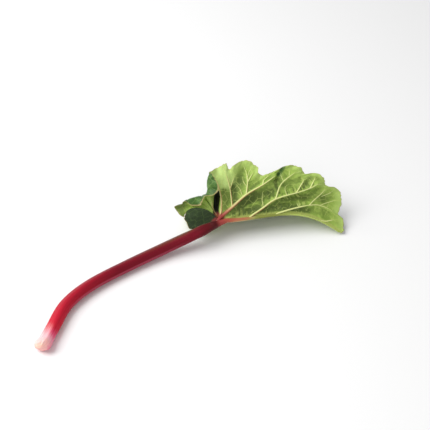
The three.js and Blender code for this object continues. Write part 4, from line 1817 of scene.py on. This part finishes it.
@dataclass
class Ribbing:
    """The midrib, with the knuckle at its root, and the ribs of both halves."""

    form: LeafForm
    stalk: Stalk
    wider: float = 1.06
    high: float = 0.62
    back_power: float = 0.85
    thin_end: float = 0.6
    thin_reach: float = 12.0
    veinlet_root: float = 0.4
    veinlet_grown: Span = (0.0, 7.0)
    sunk: float = 0.28
    sunk_root: float = 2.0
    sunk_root_reach: float = 16.0
    gathered: float = 3.0
    step: float = 1.4
    least_rings: int = 6
    sides: int = 14
    paler: float = 30.0
    paler_span: Span = (3.0, 16.0)
    paler_under: float = 4.0
    midrib_from: float = 14.0
    midrib_short: float = 3.0
    midrib_clear: float = 0.1
    midrib_step: float = 2.0
    midrib_sides: int = 32
    midrib_extra: int = 14
    chain_root: tuple[int, ...] = (0, 1, 4, 8, 14)
    chain_step: int = 8
    chain_from: int = 22
    chain_short: int = 5
    knuckle: float = 1.0
    knuckle_at: float = 4.0
    knuckle_reach: float = 9.0
    head_back: tuple[float, ...] = (7.0, 3.0, 0.0)
    head_wider: tuple[float, ...] = (0.95, 1.015, 1.015)
    head_morph: float = 15.0
    flank: float = 0.6
    flank_fade: Span = (46.0, 64.0)

    def _widths(self, rib: Rib, distance: Array) -> Array:
        """A rib's widths.

        Args:
            rib: the rib.
            distance: places along it.

        Returns:
            One width for each place.
        """
        length = distance[-1]
        thin = 1 - self.thin_end * ease(distance, length - self.thin_reach, length)
        wide = between(*rib.wide, distance / length) * self.wider * thin
        if rib in VEINLETS:
            wide = wide * between(self.veinlet_root, 1.0, ease(distance, *self.veinlet_grown))
        return wide

    def rib(self, rib: Rib, half: Half) -> Shell:
        """One rib, with a round back and a root sunk in the blade.

        Args:
            rib: its path and widths.
            half: the half that it stiffens.

        Returns:
            The mesh, with out, flank and stem held at its points.
        """
        line = Spline(np.array(rib.path, float))
        length = line.length()
        distance = np.linspace(0.0, length, max(self.least_rings, round(length / self.step)))
        centre, ahead = line.along(distance)
        wide = self._widths(rib, distance)[:, None]
        c, s = np.cos(turns(self.sides)), np.sin(turns(self.sides))
        aside = np.stack([-ahead[:, 1], ahead[:, 0]], axis=1)
        flat = centre[:, None] + aside[:, None] * (wide * 0.5 * c)[..., None]
        p, q = flat[..., 0], flat[..., 1]
        out = np.hypot(p, q)
        back = np.where(s > 0, np.abs(s) ** self.back_power, 0.0)
        root = np.where(s <= 0, s, 0.0) * self.sunk * (1 + self.sunk_root * bell(out, self.sunk_root_reach))
        deep = self.form.pocket_depth(p, q) + self.form.relief(p, q, half)
        points = self.form.place(p, q, wide * self.high * back + root - deep, half)
        if rib.path[0][1] == 0:
            middle = self.form.midrib_centre(np.array([rib.path[0][0]], float), 0.0)[0]
            pull = bell(distance, self.gathered)[:, None, None]
            points = points + pull * (middle - points.mean(axis=1, keepdims=True))
        if rib.wide[0] < self.paler_under:
            out = out + self.paler * ease(out, *self.paler_span)
        flank = np.broadcast_to(-c if half.side is Side.NEAR else c, out.shape)
        return tube(points, {"out": out, "flank": flank, "stem": np.zeros(out.shape)})

    def _stem(self) -> tuple[Array, Array, Array]:
        """The midrib's sections, without the knuckle's first rings.

        Returns:
            Rings by points by 3, how far each ring is along the leaf, and along the midrib.
        """
        p = np.arange(self.midrib_from, self.form.length - self.midrib_short, self.midrib_step)
        root, _ = self.stalk.line.along(np.array([self.stalk.length]))
        path = np.vstack([root, self.form.midrib_centre(p, self.midrib_clear)])
        late = range(self.chain_from, len(path) - self.chain_short, self.chain_step)
        chain = Spline(path[[*self.chain_root, *late, -1]])
        distance = np.linspace(0.0, 1.0, len(p) + self.midrib_extra) * chain.length()
        points, along = chain.along(distance)
        ahead = (points - np.array(self.form.base)) @ self.form.along
        level = unit(np.cross(UP, along))
        face = turned(level, np.cross(along, level), self.stalk.head_roll)
        side = np.cross(along, face)
        knot = self.knuckle * bell(ahead - self.knuckle_at, self.knuckle_reach)
        radius = (np.interp(ahead, p, self.form.midrib_width(p)) / 2 + knot)[:, None]
        turn = turns(self.midrib_sides)
        rings = (
            points[:, None]
            + side[:, None] * (radius * np.cos(turn))[..., None]
            + face[:, None] * (radius * np.sin(turn))[..., None]
        )
        return rings, ahead, distance

    def midrib(self) -> Shell:
        """The knuckle and the midrib as one tapered tube.

        Returns:
            The mesh, with out, flank and stem held at its points.
        """
        head, _, _ = self.stalk.rings(self.stalk.length - np.array(self.head_back), 0.0)
        middle = head.mean(axis=1, keepdims=True)
        head = middle + (head - middle) * np.array(self.head_wider)[:, None, None]
        pick = np.round(np.arange(self.midrib_sides) * self.stalk.sides / self.midrib_sides).astype(int)
        head = head[:, pick]
        rings, ahead, distance = self._stem()
        centres = rings.mean(axis=1, keepdims=True)
        morph = ease(distance, 0.0, self.head_morph)[:, None, None]
        rings = between(head[-1] + centres - centres[0], rings, morph)
        rings = np.concatenate([head[:-1], rings])
        out = np.concatenate([ahead[0] - np.array(self.head_back[:-1]), ahead])
        out = np.repeat(out[:, None], self.midrib_sides, axis=1)
        flank = np.cos(turns(self.midrib_sides)) * self.flank * (1 - ease(out, *self.flank_fade))
        return tube(rings, {"out": out, "flank": flank, "stem": np.ones(out.shape)})

    def make(self, finish: RibSkin) -> bpy.types.Object:
        """Makes the ribs' piece, in place of the plain ribs.

        Args:
            finish: the ribs' skin.

        Returns:
            The piece.
        """
        shell = self.midrib()
        for half in (self.form.near, self.form.far):
            for rib in (*RIBS, *VEINLETS):
                shell = shell.joined(self.rib(rib, half))
        shell.points = shell.points + np.array(SET_DOWN)
        piece = shell.piece("ribs", finish.material())
        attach(piece, BODY)
        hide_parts("leaf_ribs")
        return piece


# ---------- the studio ----------


@dataclass(frozen=True)
class Lamp:
    """A square soft light: where it stands in metres, its side and its power in watts."""

    name: str
    place: Point
    size: float
    power: float

    def make(self) -> None:
        """Hangs the light, shining at the object."""
        data = bpy.data.lights.new(self.name, "AREA")
        data.shape, data.size, data.energy = "SQUARE", self.size, self.power
        made = bpy.data.objects.new(self.name, data)
        made.location = self.place
        made.rotation_euler = (-Vector(self.place)).to_track_quat("-Z", "Y").to_euler()
        bpy.context.scene.collection.objects.link(made)


@dataclass
class Studio:
    """The floor, the light and the camera, in metres."""

    eye: Point = (-0.478, -1.0634, 1.2563)
    aim: Point = (0.0924, 0.056, 0.0)
    lens: float = 85.0
    sensor: float = 36.0
    floor_size: float = 12.0
    sky: float = 0.42
    lamps: tuple[Lamp, ...] = (
        Lamp("key", (-1.2, 0.7, 1.9), 2.2, 60.0),
        Lamp("fill", (-0.6, -1.6, 1.3), 1.6, 6.0),
    )

    def floor(self, finish: FloorPaint) -> bpy.types.Object:
        """The floor, which isn't part of the object.

        Args:
            finish: its paint.

        Returns:
            A flat square.
        """
        half = self.floor_size / 2
        mesh = bpy.data.meshes.new("floor")
        corners = [(-half, -half, 0), (half, -half, 0), (half, half, 0), (-half, half, 0)]
        mesh.from_pydata(corners, [], [(0, 1, 2, 3)])
        mesh.materials.append(finish.material())
        made = bpy.data.objects.new("floor", mesh)
        bpy.context.scene.collection.objects.link(made)
        return made

    def light(self) -> None:
        """The bright surroundings and the soft lights."""
        world = bpy.data.worlds.new("studio")
        world.use_nodes = True
        shade = world.node_tree.nodes["Background"]
        shade.inputs["Color"].default_value = (1.0, 1.0, 1.0, 1.0)
        shade.inputs["Strength"].default_value = self.sky
        bpy.context.scene.world = world
        for lamp in self.lamps:
            lamp.make()
        bpy.context.scene.view_settings.view_transform = "Standard"

    def camera(self) -> bpy.types.Object:
        """The camera, looking down along the object from its near side.

        Returns:
            The scene's camera.
        """
        data = bpy.data.cameras.new("camera")
        data.lens, data.sensor_width = self.lens, self.sensor
        made = bpy.data.objects.new("camera", data)
        made.location = self.eye
        way = Vector(self.aim) - Vector(self.eye)
        made.rotation_euler = way.to_track_quat("-Z", "Y").to_euler()
        bpy.context.scene.collection.objects.link(made)
        bpy.context.scene.camera = made
        return made


def main() -> None:
    """Builds the pieces in order."""
    logging.basicConfig(level=logging.INFO, format="%(name)s: %(message)s")
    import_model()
    studio = Studio()
    studio.camera()
    studio.light()
    studio.floor(FloorPaint())
    stalk = Stalk()
    form = LeafForm()
    leaf = LeafSkin().material()
    made = [
        stalk.make(StalkSkin(stalk.length)),
        Ribbing(form, stalk).make(RibSkin()),
        Blade(form, form.near, rays=335).make(leaf),
        Blade(form, form.far, rays=280).make(leaf),
    ]
    for piece in made:
        faces = sum(len(face.vertices) - 2 for face in piece.data.polygons)
        log.info("%s has %d triangles", piece.name, faces)
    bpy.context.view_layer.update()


if __name__ == "__main__":
    main()
